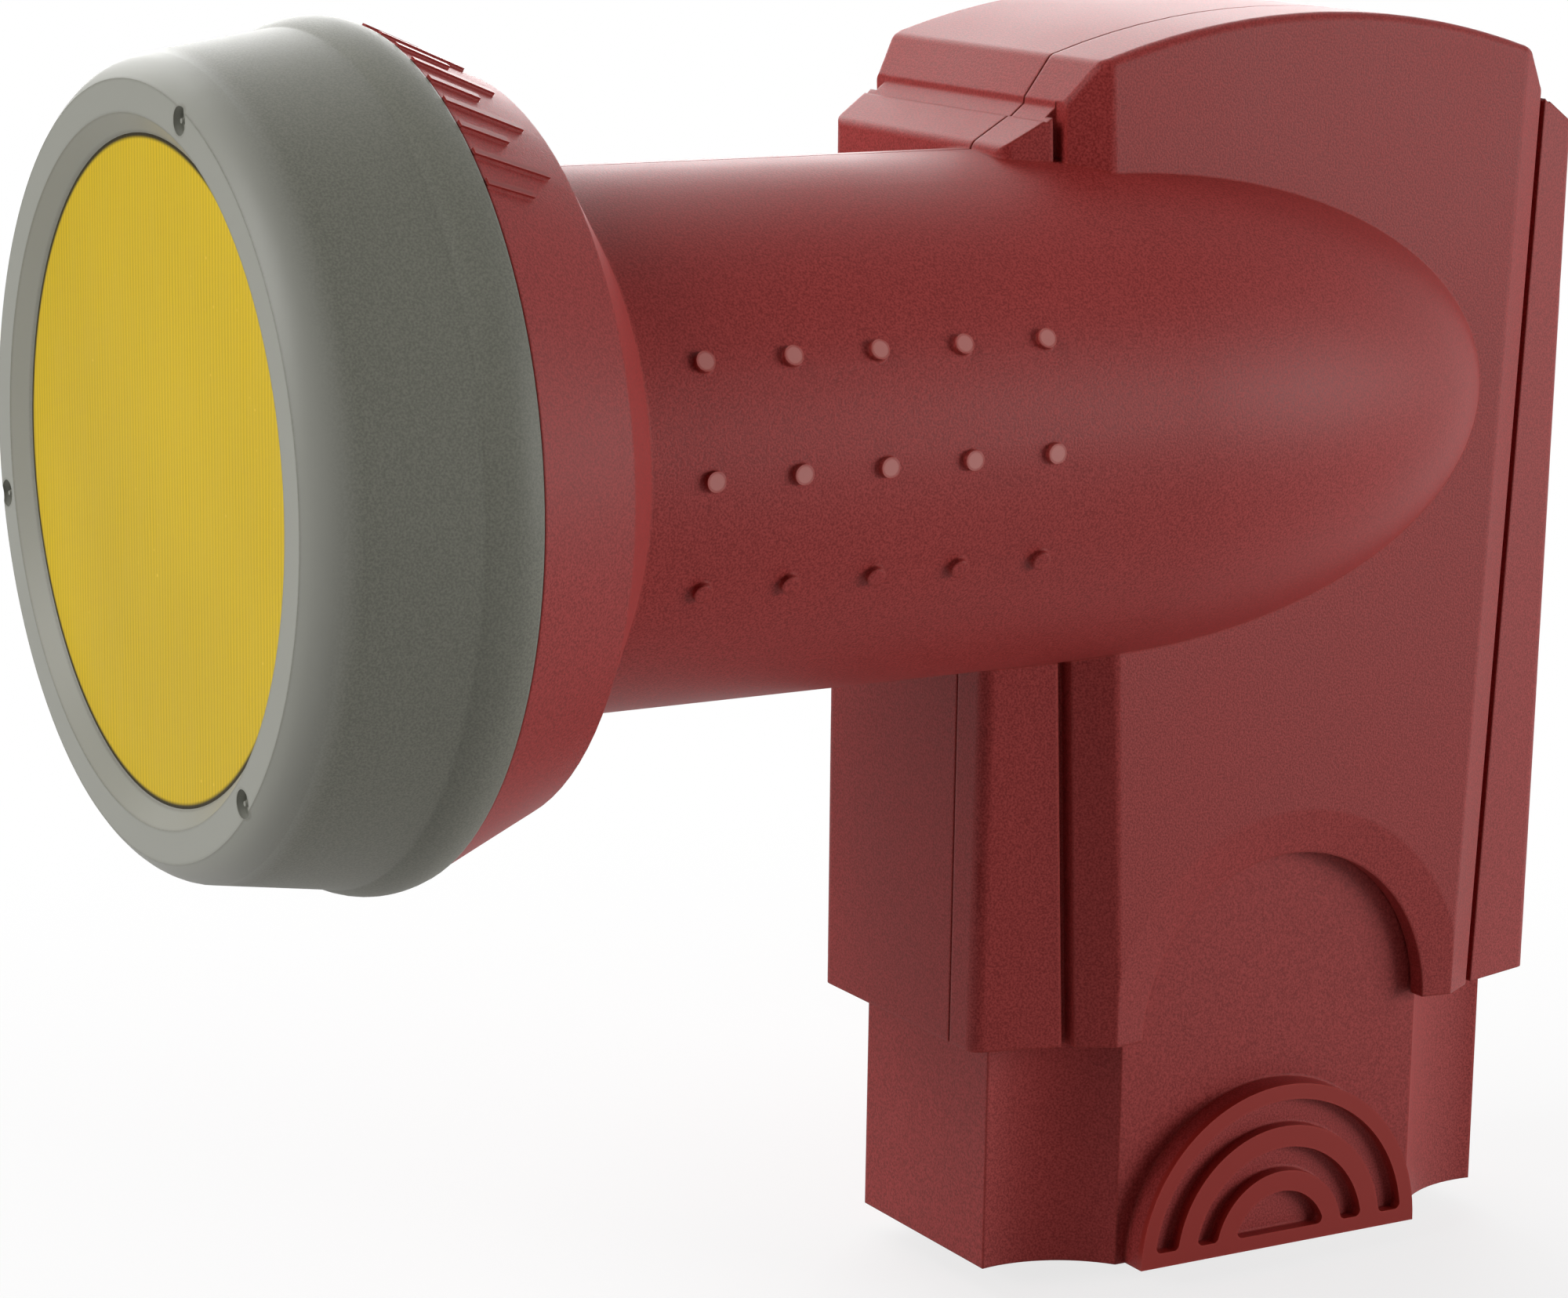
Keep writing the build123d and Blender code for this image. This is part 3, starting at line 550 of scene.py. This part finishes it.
@dataclass(frozen=True)
class PlatedMetal(Finish):
    """Plated or bare turned metal with faint smudges and brighter edges."""

    grain: float = 0.3 * MM
    grain_depth: float = 0.003 * MM
    smudge: float = 0.12
    smudge_size: float = 4 * MM
    smudge_clear: float = 0.4
    smudge_dulling: float = 0.22
    edge_round: float = 0.08 * MM
    edge_share: float = 0.6
    edge_gain: float = 1.15
    edge_lift: float = 0.05

    def wire(self, graph: Graph) -> None:
        """Smudges change the roughness, and fine grain the bump; edges are brighter.

        Args:
            graph: nodes of the material.
        """
        smudges = graph.noise(self.smudge_size, detail=4.0)
        fine = graph.noise(self.grain, detail=3.0)
        rounded = graph.rounded(self.edge_round)
        bright = tuple(min(1.0, self.edge_gain * c + self.edge_lift) for c in self.colour)
        dark = graph.shade(self.colour, 1 - (smudges - self.smudge_clear) * self.smudge)
        graph.surface({
            "Base Color": graph.mix(dark, bright, graph.edges(rounded) * self.edge_share),
            "Metallic": 1.0,
            "Roughness": self.roughness + smudges.swing(self.smudge_dulling),
            "Normal": graph.bump(fine, self.grain_depth, rounded),
        })


@dataclass(frozen=True)
class CastMetal(Finish):
    """Die-cast metal: cloudy, grainy skin with a dull edge."""

    grain: float = 1.6 * MM
    fine_grain: float = 0.35 * MM
    fine_share: float = 0.6
    grain_depth: float = 0.03 * MM
    grain_dulling: float = 0.3
    cloud: float = 10 * MM
    cloud_low: float = 0.82
    cloud_span: float = 0.36
    edge_round: float = 0.2 * MM
    metal: float = 0.9

    def wire(self, graph: Graph) -> None:
        """Two sizes of grain lift the skin, and a broad cloud darkens it.

        Args:
            graph: nodes of the material.
        """
        coarse = graph.noise(self.grain, detail=4.0)
        fine = graph.noise(self.fine_grain)
        cloud = graph.noise(self.cloud, detail=3.0)
        rounded = graph.rounded(self.edge_round)
        graph.surface({
            "Base Color": graph.shade(self.colour, self.cloud_low + cloud * self.cloud_span),
            "Metallic": self.metal,
            "Roughness": self.roughness + coarse.swing(self.grain_dulling),
            "Normal": graph.bump(coarse + fine * self.fine_share, self.grain_depth, rounded),
        })


@dataclass(frozen=True)
class RolledSheet(Finish):
    """Sheet metal with the long fine lines of the rolling mill."""

    line: float = 0.25 * MM
    line_stretch: Colour = (1, 1, 0.03)
    line_low: float = 0.9
    line_span: float = 0.2
    line_dulling: float = 0.3
    line_depth: float = 0.004 * MM
    cloud: float = 8 * MM
    cloud_dulling: float = 0.1
    edge_round: float = 0.12 * MM

    def wire(self, graph: Graph) -> None:
        """Noise drawn out along Z makes the lines.

        Args:
            graph: nodes of the material.
        """
        lines = graph.noise(self.line, detail=3.0, stretch=self.line_stretch)
        cloud = graph.noise(self.cloud)
        graph.surface({
            "Base Color": graph.shade(self.colour, self.line_low + lines * self.line_span),
            "Metallic": 1.0,
            "Roughness": self.roughness + lines.swing(self.line_dulling) + cloud.swing(self.cloud_dulling),
            "Normal": graph.bump(lines, self.line_depth, graph.rounded(self.edge_round)),
        })


@dataclass(frozen=True)
class SoftRubber(Finish):
    """Dull rubber with a dusty bloom."""

    bloom: float = 2.5 * MM
    bloom_range: Range = (0.45, 0.75)
    bloom_lift: float = 0.035
    grain: float = 0.15 * MM
    grain_depth: float = 0.01 * MM
    grain_dulling: float = 0.2
    edge_round: float = 0.1 * MM
    gloss: float = 0.25

    def wire(self, graph: Graph) -> None:
        """A pale bloom follows a cloudy pattern.

        Args:
            graph: nodes of the material.
        """
        bloom = graph.noise(self.bloom, detail=4.0).above(*self.bloom_range)
        fine = graph.noise(self.grain)
        pale = tuple(c + self.bloom_lift for c in self.colour)
        graph.surface({
            "Base Color": graph.mix(self.colour, pale, bloom),
            "Roughness": self.roughness + fine.swing(self.grain_dulling),
            "Specular IOR Level": self.gloss,
            "Normal": graph.bump(fine, self.grain_depth, graph.rounded(self.edge_round)),
        })


@dataclass(frozen=True)
class SolderResist(Finish):
    """Circuit board lacquer over copper tracks, with tinned pads."""

    track: float = 2.6 * MM
    track_scatter: float = 0.6
    track_waves: float = 9.0
    track_range: Range = (0.2, 0.6)
    track_gain: float = 1.7
    track_depth: float = 0.03 * MM
    pad_gap: float = 1.9 * MM
    pad_range: Range = (0.2, 0.15)
    cloud: float = 3 * MM
    cloud_dulling: float = 0.15
    edge_round: float = 0.1 * MM

    def wire(self, graph: Graph) -> None:
        """Tracks follow the borders of square cells, and pads sit at the middles of small cells.

        Args:
            graph: nodes of the material.
        """
        sockets = {"Vector": graph.place(), "Scale": 1 / self.track, "Randomness": self.track_scatter}
        settings = {"feature": "F2", "distance": "MANHATTAN"}
        tracks = graph.value("ShaderNodeTexVoronoi", settings, sockets, "Distance")
        lines = (tracks * self.track_waves).sine().above(*self.track_range)
        pads = graph.cells(self.pad_gap).above(*self.pad_range)
        lacquer = graph.mix(self.colour, tuple(self.track_gain * c for c in self.colour), lines)
        graph.surface({
            "Base Color": graph.mix(lacquer, TIN, pads),
            "Metallic": pads,
            "Roughness": self.roughness + graph.noise(self.cloud).swing(self.cloud_dulling),
            "Normal": graph.bump(lines, self.track_depth, graph.rounded(self.edge_round)),
        })


@dataclass(frozen=True)
class ClearPlastic(Finish):
    """Milky insulating plastic with a waxy skin."""

    cloud: float = 2 * MM
    cloud_low: float = 0.94
    cloud_span: float = 0.12
    cloud_dulling: float = 0.12
    turning: float = 0.2 * MM
    turning_stretch: Colour = (0.1, 0.1, 1)
    turning_depth: float = 0.006 * MM
    edge_round: float = 0.12 * MM
    glow: float = 0.1
    glow_reach: Colour = (0.5 * MM, 0.45 * MM, 0.4 * MM)

    def wire(self, graph: Graph) -> None:
        """A faint cloud and fine turning marks along Z.

        Args:
            graph: nodes of the material.
        """
        cloud = graph.noise(self.cloud, detail=3.0)
        turned = graph.noise(self.turning, stretch=self.turning_stretch)
        graph.surface({
            "Base Color": graph.shade(self.colour, self.cloud_low + cloud * self.cloud_span),
            "Roughness": self.roughness + cloud.swing(self.cloud_dulling),
            "Subsurface Weight": self.glow,
            "Subsurface Radius": self.glow_reach,
            "Normal": graph.bump(turned, self.turning_depth, graph.rounded(self.edge_round)),
        })


RED_ROUGHNESS = 0.5
GREY_ROUGHNESS = 0.5
FILM_ROUGHNESS = 0.45
GOLD_PLATE = PlatedMetal("connector_gold", (0.83, 0.55, 0.2), 0.26, grain_depth=0.001 * MM)
BRASS = PlatedMetal("contact_brass", (0.8, 0.6, 0.28), 0.3)
ZINC_STEEL = PlatedMetal("screw_steel", (0.6, 0.6, 0.61), 0.36)
CAST_ALLOY = CastMetal("cast_metal", (0.55, 0.55, 0.56), 0.5)
LID_SHEET = RolledSheet("lid_metal", (0.66, 0.66, 0.67), 0.34)
BLACK_RUBBER = SoftRubber("seal_rubber", (0.025, 0.025, 0.026), 0.7)
BOARD_LACQUER = SolderResist("board_green", (0.02, 0.11, 0.04), 0.35)
CHIP_EPOXY = MouldedPlastic("chip_black", CHIP_BLACK, 0.55, CHIP_EDGE_HIGHLIGHT, CHIP_EDGE_HIGHLIGHT,
                            grain=0.12 * MM, edge_round=0.1 * MM)
COIL_ENAMEL = PlatedMetal("coil_copper", (0.62, 0.27, 0.13), 0.32)
CORE_PLASTIC = ClearPlastic("insulator_white", (0.78, 0.76, 0.7), 0.4)


def ring_mesh(name: str, points: np.ndarray) -> bpy.types.Object:
    """Make a closed mesh from a grid of points that joins up in both directions.

    Args:
        name: name of the object.
        points: array of shape (rows, columns, 3); both the rows and the columns wrap round.

    Returns:
        The object, with its place in its mesh.
    """
    rows, columns = points.shape[:2]
    index = np.arange(rows * columns).reshape(rows, columns)
    next_row, next_column = np.roll(index, -1, 0), np.roll(index, -1, 1)
    corner = np.roll(next_row, -1, 1)
    faces = np.stack([index, next_column, corner, next_row], -1).reshape(-1, 4)
    mesh = bpy.data.meshes.new(name)
    mesh.from_pydata(points.reshape(-1, 3), [], faces)
    mesh.shade_smooth()
    mesh.set_sharp_from_angle(angle=SHARP_ANGLE)
    piece = bpy.data.objects.new(name, mesh)
    bpy.context.scene.collection.objects.link(piece)
    return piece


class Assembly:
    """Pieces that come off the bench together; a subclass says which they are and what they wear."""

    body: ClassVar[Body] = Body.HOUSING

    def finishes(self) -> dict[str, Finish]:
        """Finish of each CAD piece, by its node's name."""
        raise NotImplementedError

    def build(self) -> dict[str, bpy.types.Object]:
        """New pieces, by the CAD node that each stands for; none where the CAD pieces are whole."""
        return {}

    def dress(self, pieces: dict[str, bpy.types.Object], wardrobe: dict[Finish, bpy.types.Material]) -> None:
        """Give each CAD piece, and each new piece that stands for one, its finish.

        Args:
            pieces: what build made.
            wardrobe: the materials made so far, to which new ones are added.
        """
        for node, finish in self.finishes().items():
            if finish not in wardrobe:
                wardrobe[finish] = finish.material()
            worn_by = pieces.get(node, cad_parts[node])
            worn_by.data.materials.clear()
            worn_by.data.materials.append(wardrobe[finish])
            if node in pieces:
                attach(worn_by, self.body.value)
                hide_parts(node)
            faces = len(worn_by.data.polygons)
            log.info("%s on %s: %s, %d faces", worn_by.name, self.body.value, finish.name, faces)


@dataclass
class FeedCap(Assembly):
    """Grey snap ring with the yellow cover of the feed horn, and the seal behind it. Sizes are in metres."""

    lip_run: float = 4.0 * MM
    lip_flat: float = 0.25
    opening_r: float = 23.45 * MM

    def finishes(self) -> dict[str, Finish]:
        """Lined film with a painted shadow at its edge on the cover, moulded grey with a lip painted paler as
        painted light on the ring, rubber on the seal.

        Returns:
            Finish of each piece, by its node's name.
        """
        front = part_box("cap_ring")[0].y
        # The ring's front lip is painted paler: painted light
        grey = LippedPlastic("cap_grey", GREY, GREY_ROUGHNESS, EDGE_HIGHLIGHT_GREY, PAINTED_LIGHT_LIP_GREY, speckle=0.16, painted_sheen=0.0,
                             mottle=0.06, lip_start=front + self.lip_run,
                             lip_front=front + self.lip_flat * self.lip_run)
        yellow = LinedFilm("cover_yellow", FILM_YELLOW, FILM_ROUGHNESS, self.opening_r)
        return {"feed_cover": yellow, "cap_ring": grey, "cap_seal": BLACK_RUBBER}


@dataclass
class Housing(Assembly):
    """The two red shells, with the neck that a clamp grips and the skirt. Sizes are in metres."""

    neck_r: float = 20.0 * MM
    bump_height: float = 0.45 * MM
    clamp_half: float = 16.0 * MM
    skirt_r: float = 30.6 * MM
    skirt_front: float = -32.6 * MM
    skirt_run: float = 8.6 * MM
    skirt_fall: float = 3.6 * MM
    mark_height: float = 0.3 * MM

    def finishes(self) -> dict[str, Finish]:
        """Red plastic with smooth grip bumps, a painted highlight on the upper bumps' tops, and tilt marks on
        both shells.

        Returns:
            Finish of each piece, by its node's name.
        """
        red = NeckedPlastic("housing_red", RED, RED_ROUGHNESS, EDGE_HIGHLIGHT_RED, PAINTED_HIGHLIGHT_RED, neck_r=self.neck_r,
                            bump_height=self.bump_height, zone_half=self.clamp_half, skirt_r=self.skirt_r,
                            skirt_front=self.skirt_front, skirt_run=self.skirt_run,
                            skirt_fall=self.skirt_fall, mark_height=self.mark_height)
        return {"right_shell": red, "left_shell": red}


@dataclass
class WeatherCover(Assembly):
    """The red cover that slides down over the connectors. Sizes are in metres."""

    body: ClassVar[Body] = Body.COVER
    groove: float = 1.1 * MM

    def finishes(self) -> dict[str, Finish]:
        """Red plastic whose outermost faces, the ribs of the finger grips, are smooth.

        Returns:
            Finish of the cover, by its node's name.
        """
        low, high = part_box("weather_slider")
        red = RibbedPlastic("cover_red", RED, RED_ROUGHNESS, EDGE_HIGHLIGHT_RED, DEEP_RED, groove=self.groove,
                            middle=(low.x + high.x) / 2, rib_half=(high.x - low.x) / 2)
        return {"weather_slider": red}


@dataclass
class Converter(Assembly):
    """Casting with the feed horn and tray, and the converter board in the tray."""

    def finishes(self) -> dict[str, Finish]:
        """Cast, rolled and plated metal, lacquered board, black chips and white sleeves."""
        return {
            "horn_chassis": CAST_ALLOY,
            "reflector_pin": ZINC_STEEL,
            "straight_probe": BRASS,
            "bent_probe": BRASS,
            "straight_probe_sleeve": CORE_PLASTIC,
            "bent_probe_sleeve": CORE_PLASTIC,
            "circuit_board": BOARD_LACQUER,
            "oscillator_can": LID_SHEET,
            "mixer_chip": CHIP_EPOXY,
            "switch_chip": CHIP_EPOXY,
            "regulator_chip": CHIP_EPOXY,
            "filter_coils": COIL_ENAMEL,
            "tray_gasket": BLACK_RUBBER,
            "tray_lid": LID_SHEET,
            "lid_screws": ZINC_STEEL,
        }


@dataclass
class Port(Assembly):
    """One F connector: threaded barrel, hexagon and a tail in the shelf. Sizes are in metres."""

    place: str
    pitch: float = 25.4 * MM / 32
    thread_depth: float = 0.42 * MM
    thread_r: float = 4.7625 * MM
    bore_r: float = 3.4 * MM
    mouth_chamfer: float = 0.25 * MM
    end_chamfer: float = 0.6 * MM
    runout: float = 1.2 * MM
    hex_half: float = 5.5 * MM
    hex_height: float = 2.5 * MM
    hex_chamfer: float = 0.35 * MM
    washer: float = 1.0 * MM
    tail_r: float = 3.9 * MM
    tail_height: float = 7.0 * MM
    columns: int = 96
    rows_per_turn: int = 20

    @property
    def barrel(self) -> str:
        """Name of the barrel's CAD node."""
        return f"{self.place}_connector"

    def finishes(self) -> dict[str, Finish]:
        """Gold plate on the barrel, white insulator, brass contact and rubber seal."""
        inner = {"insulator": CORE_PLASTIC, "contact": BRASS, "connector_seal": BLACK_RUBBER}
        return {self.barrel: GOLD_PLATE} | {f"{self.place}_{piece}": worn for piece, worn in inner.items()}

    def profile(self, bottom: float, top: float) -> np.ndarray:
        """Rows of the surface, from the bore's top down, round the end and back up outside.

        Args:
            bottom: height of the barrel's open end.
            top: height of the tail's end.

        Returns:
            One row each of height, radius, share of thread and share of hexagon.
        """
        hex_top = top - self.tail_height - self.washer
        hex_bottom = hex_top - self.hex_height
        turns = (hex_bottom - bottom - self.end_chamfer) / self.pitch
        barrel_z = np.linspace(bottom + self.end_chamfer, hex_bottom, int(turns * self.rows_per_turn))
        fade = np.clip((hex_bottom - barrel_z) / self.runout, 0, 1)
        lead = np.clip((barrel_z - bottom) / self.pitch, 0, 1)
        flat_r = self.hex_half - self.hex_chamfer
        corner_r = self.hex_half / math.cos(math.pi / 6)
        mouth = [(top, self.bore_r, 0, 0), (bottom + self.mouth_chamfer, self.bore_r, 0, 0),
                 (bottom, self.bore_r + self.mouth_chamfer, 0, 0),
                 (bottom, self.thread_r - self.end_chamfer, 0, 0)]
        thread_r = np.full_like(barrel_z, self.thread_r)
        barrel = np.stack([barrel_z, thread_r, fade * lead, np.zeros_like(barrel_z)], -1)
        rear = [(hex_bottom, flat_r, 0, 0), (hex_bottom + self.hex_chamfer, corner_r, 0, 1),
                (hex_top - self.hex_chamfer, corner_r, 0, 1), (hex_top, flat_r, 0, 0),
                (hex_top, self.tail_r, 0, 0), (top, self.tail_r, 0, 0)]
        return np.concatenate([mouth, barrel, rear])

    def build(self) -> dict[str, bpy.types.Object]:
        """Carry the barrel's profile round its axis.

        The thread lowers the radius by a cosine wave of height over pitch less angle over a turn, so it
        joins up after one turn. The hexagon holds the radius to its flats: half width over the cosine
        of the angle from the nearest flat's middle.

        Returns:
            The threaded barrel, for the CAD node that it stands for.
        """
        low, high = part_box(self.barrel)
        height, radius, thread, hexagon = self.profile(low.z, high.z).T[:, :, None]
        angle = np.arange(self.columns) * FULL_TURN / self.columns
        phase = height / self.pitch - angle / FULL_TURN
        groove = (1 - np.cos(FULL_TURN * phase)) / 2
        radius = radius - self.thread_depth * groove * thread
        sixth = FULL_TURN / 6
        from_flat = (angle + sixth / 2) % sixth - sixth / 2
        flats = self.hex_half / np.cos(from_flat)
        radius = np.where(hexagon > 0, np.minimum(radius, flats), radius)
        centre = (low + high) / 2
        points = np.empty((*radius.shape, 3))
        points[..., 0] = centre.x + radius * np.cos(angle)
        points[..., 1] = centre.y + radius * np.sin(angle)
        points[..., 2] = height
        return {self.barrel: ring_mesh(self.barrel + "_threaded", points)}


@dataclass
class Softbox:
    """One rectangular lamp that faces a point. Sizes are in metres, power in watts."""

    name: str
    towards: tuple[float, float, float]
    power: float
    width: float = 0.5
    height: float = 0.5
    distance: float = 0.85

    def build(self, aim: Vector) -> None:
        """Put the lamp along its direction from a point, facing back at it.

        Args:
            aim: the point.
        """
        lamp = bpy.data.lights.new(self.name, "AREA")
        lamp.shape = "RECTANGLE"
        lamp.size, lamp.size_y = self.width, self.height
        lamp.energy = self.power
        lamp_object = bpy.data.objects.new(self.name, lamp)
        away = Vector(self.towards).normalized()
        turn = away.to_track_quat("Z", "Y").to_matrix().to_4x4()
        lamp_object.matrix_world = Matrix.Translation(aim + away * self.distance) @ turn
        bpy.context.scene.collection.objects.link(lamp_object)


@dataclass
class Studio:
    """Pale floor, white surroundings and soft lamps. Sizes are in metres."""

    floor_drop: float = 2.0 * MM
    floor_r: float = 4.0
    floor_columns: int = 64
    shadow: float = 0.25
    shadow_near: float = 0.06
    shadow_far: float = 0.2
    paper_tone: float = 0.95
    paper_edge: float = 0.15
    paper_turn: Range = (-0.6, 0.5)
    bounce: float = 0.55
    room_light: float = 0.03
    lamps: tuple[Softbox, ...] = (
        Softbox("key_softbox", (0.0, -0.85, 0.55), 4.0),
        Softbox("front_softbox", (-0.25, -0.95, 0.2), 1.4),
        Softbox("rim_softbox", (0.65, 0.76, 0.0), 6.2),
        Softbox("back_softbox", (-0.845, 0.49, 0.2), 5.4, width=0.6),
        Softbox("left_softbox", (-0.845, -0.06, 0.53), 2.4),
        Softbox("top_softbox", (-0.5, 0.3, 0.75), 1.0),
    )

    @staticmethod
    def rays(graph: Graph) -> tuple[Value, Value]:
        """Which rays ask: 1 for those of the camera, and 1 for those of a mirror or glass.

        Args:
            graph: nodes of the floor or the room.

        Returns:
            The camera's value and the mirrors' value.
        """
        path = graph.node("ShaderNodeLightPath").outputs
        mirror = Value(graph, path["Is Glossy Ray"]) + Value(graph, path["Is Transmission Ray"])
        return Value(graph, path["Is Camera Ray"]), graph.math("MINIMUM", mirror, 1.0)

    def floor_paper(self) -> bpy.types.Material:
        """White paper that shows a faint shadow close to the object and, in mirrors, ends in front of it.

        Returns:
            The floor's material.
        """
        material = bpy.data.materials.new("floor_paper")
        graph = Graph(material)
        camera, mirror = self.rays(graph)
        away = graph.value("ShaderNodeVectorMath", {"operation": "LENGTH"}, {0: graph.place()}, "Value")
        faint = (1 - away.above(self.shadow_near, self.shadow_far)) * self.shadow
        behind = graph.axis(Axis.Y).above(-self.paper_edge, self.paper_edge)
        tone = camera * (self.paper_tone - self.bounce) + self.bounce
        pale = graph.node("ShaderNodeBsdfDiffuse", None, {"Color": graph.shade(WHITE, tone)})
        white = graph.node("ShaderNodeEmission", None, {"Color": (*WHITE, 1.0), "Strength": 1.0})
        lit = camera * (1 - faint) + mirror * behind
        layers = {0: lit, 1: pale.outputs[0], 2: white.outputs[0]}
        paper = graph.node("ShaderNodeMixShader", None, layers)
        graph.node("ShaderNodeOutputMaterial", None, {"Surface": paper.outputs[0]})
        return material

    def build_floor(self, height: float) -> None:
        """Flat disc whose rim is a circle of points at even angles.

        Args:
            height: the floor's level.
        """
        angle = np.arange(self.floor_columns) * FULL_TURN / self.floor_columns
        level = np.full(self.floor_columns, height)
        rim = np.stack([np.cos(angle) * self.floor_r, np.sin(angle) * self.floor_r, level], -1)
        mesh = bpy.data.meshes.new("floor")
        mesh.from_pydata(rim, [], [range(self.floor_columns)])
        mesh.materials.append(self.floor_paper())
        floor = bpy.data.objects.new("floor", mesh)
        bpy.context.scene.collection.objects.link(floor)
        floor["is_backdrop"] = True

    def build_room(self) -> None:
        """White to the camera; in mirrors, white behind the object and dark in front of it."""
        room = bpy.data.worlds.new("room")
        bpy.context.scene.world = room
        graph = Graph(room)
        camera, mirror = self.rays(graph)
        way = graph.node("ShaderNodeTexCoord").outputs["Generated"]
        behind = graph.part(way, Axis.Y).above(*self.paper_turn)
        level = camera + mirror * behind + (1 - camera - mirror) * self.room_light
        light = graph.node("ShaderNodeBackground", None, {"Color": (*WHITE, 1.0), "Strength": level})
        graph.node("ShaderNodeOutputWorld", None, {"Surface": light.outputs[0]})

    def build(self, low: Vector, high: Vector) -> None:
        """Make the floor, the room and the lamps around a box.

        Args:
            low: the box's lowest corner.
            high: its highest corner.
        """
        self.build_floor(low.z - self.floor_drop)
        self.build_room()
        for lamp in self.lamps:
            lamp.build((low + high) / 2)


@dataclass
class Viewpoint:
    """Camera that looks as the photograph does. Angles are in degrees, sizes in millimetres."""

    azimuth: float = 59.735
    elevation: float = 12.005
    roll: float = 0.908
    distance: float = 339.795
    target: tuple[float, float, float] = (0.0, 3.380, -17.221)
    focal_px: float = 5730.07

    def build(self) -> None:
        """Make the camera from its angles.

        The camera's right, up and back are the usual ones of azimuth and elevation, turned about the
        view line by the roll.
        """
        turn, rise, roll = (math.radians(a) for a in (self.azimuth, self.elevation, self.roll))
        flat = math.cos(rise)
        back = Vector((math.sin(turn) * flat, -math.cos(turn) * flat, math.sin(rise)))
        level = Vector((math.cos(turn), math.sin(turn), 0.0))
        upright = back.cross(level)
        right = level * math.cos(roll) + upright * math.sin(roll)
        up = upright * math.cos(roll) - level * math.sin(roll)
        lens = bpy.data.cameras.new("camera")
        lens.sensor_fit = "HORIZONTAL"
        lens.sensor_width = SENSOR_WIDTH_MM
        lens.lens = self.focal_px / IMAGE_WIDTH_PX * SENSOR_WIDTH_MM
        lens.clip_start = NEAR_CLIP
        camera = bpy.data.objects.new("camera", lens)
        place = (Vector(self.target) + back * self.distance) * MM
        axes = Matrix((right, up, back)).transposed().to_4x4()
        camera.matrix_world = Matrix.Translation(place) @ axes
        bpy.context.scene.collection.objects.link(camera)
        bpy.context.scene.camera = camera


def main() -> None:
    """Dress the model, add the threads, and set up the studio and camera."""
    logging.basicConfig(level=logging.INFO, format="%(name)s: %(message)s")
    bpy.context.scene.view_settings.view_transform = "Standard"
    cad_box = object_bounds()
    wardrobe = {}
    for assembly in (FeedCap(), Housing(), WeatherCover(), Converter(), Port("front"), Port("rear")):
        assembly.dress(assembly.build(), wardrobe)
    low, high = (Vector(corner) for corner in cad_box)
    Studio().build(low, high)
    Viewpoint().build()


if __name__ == "__main__":
    main()
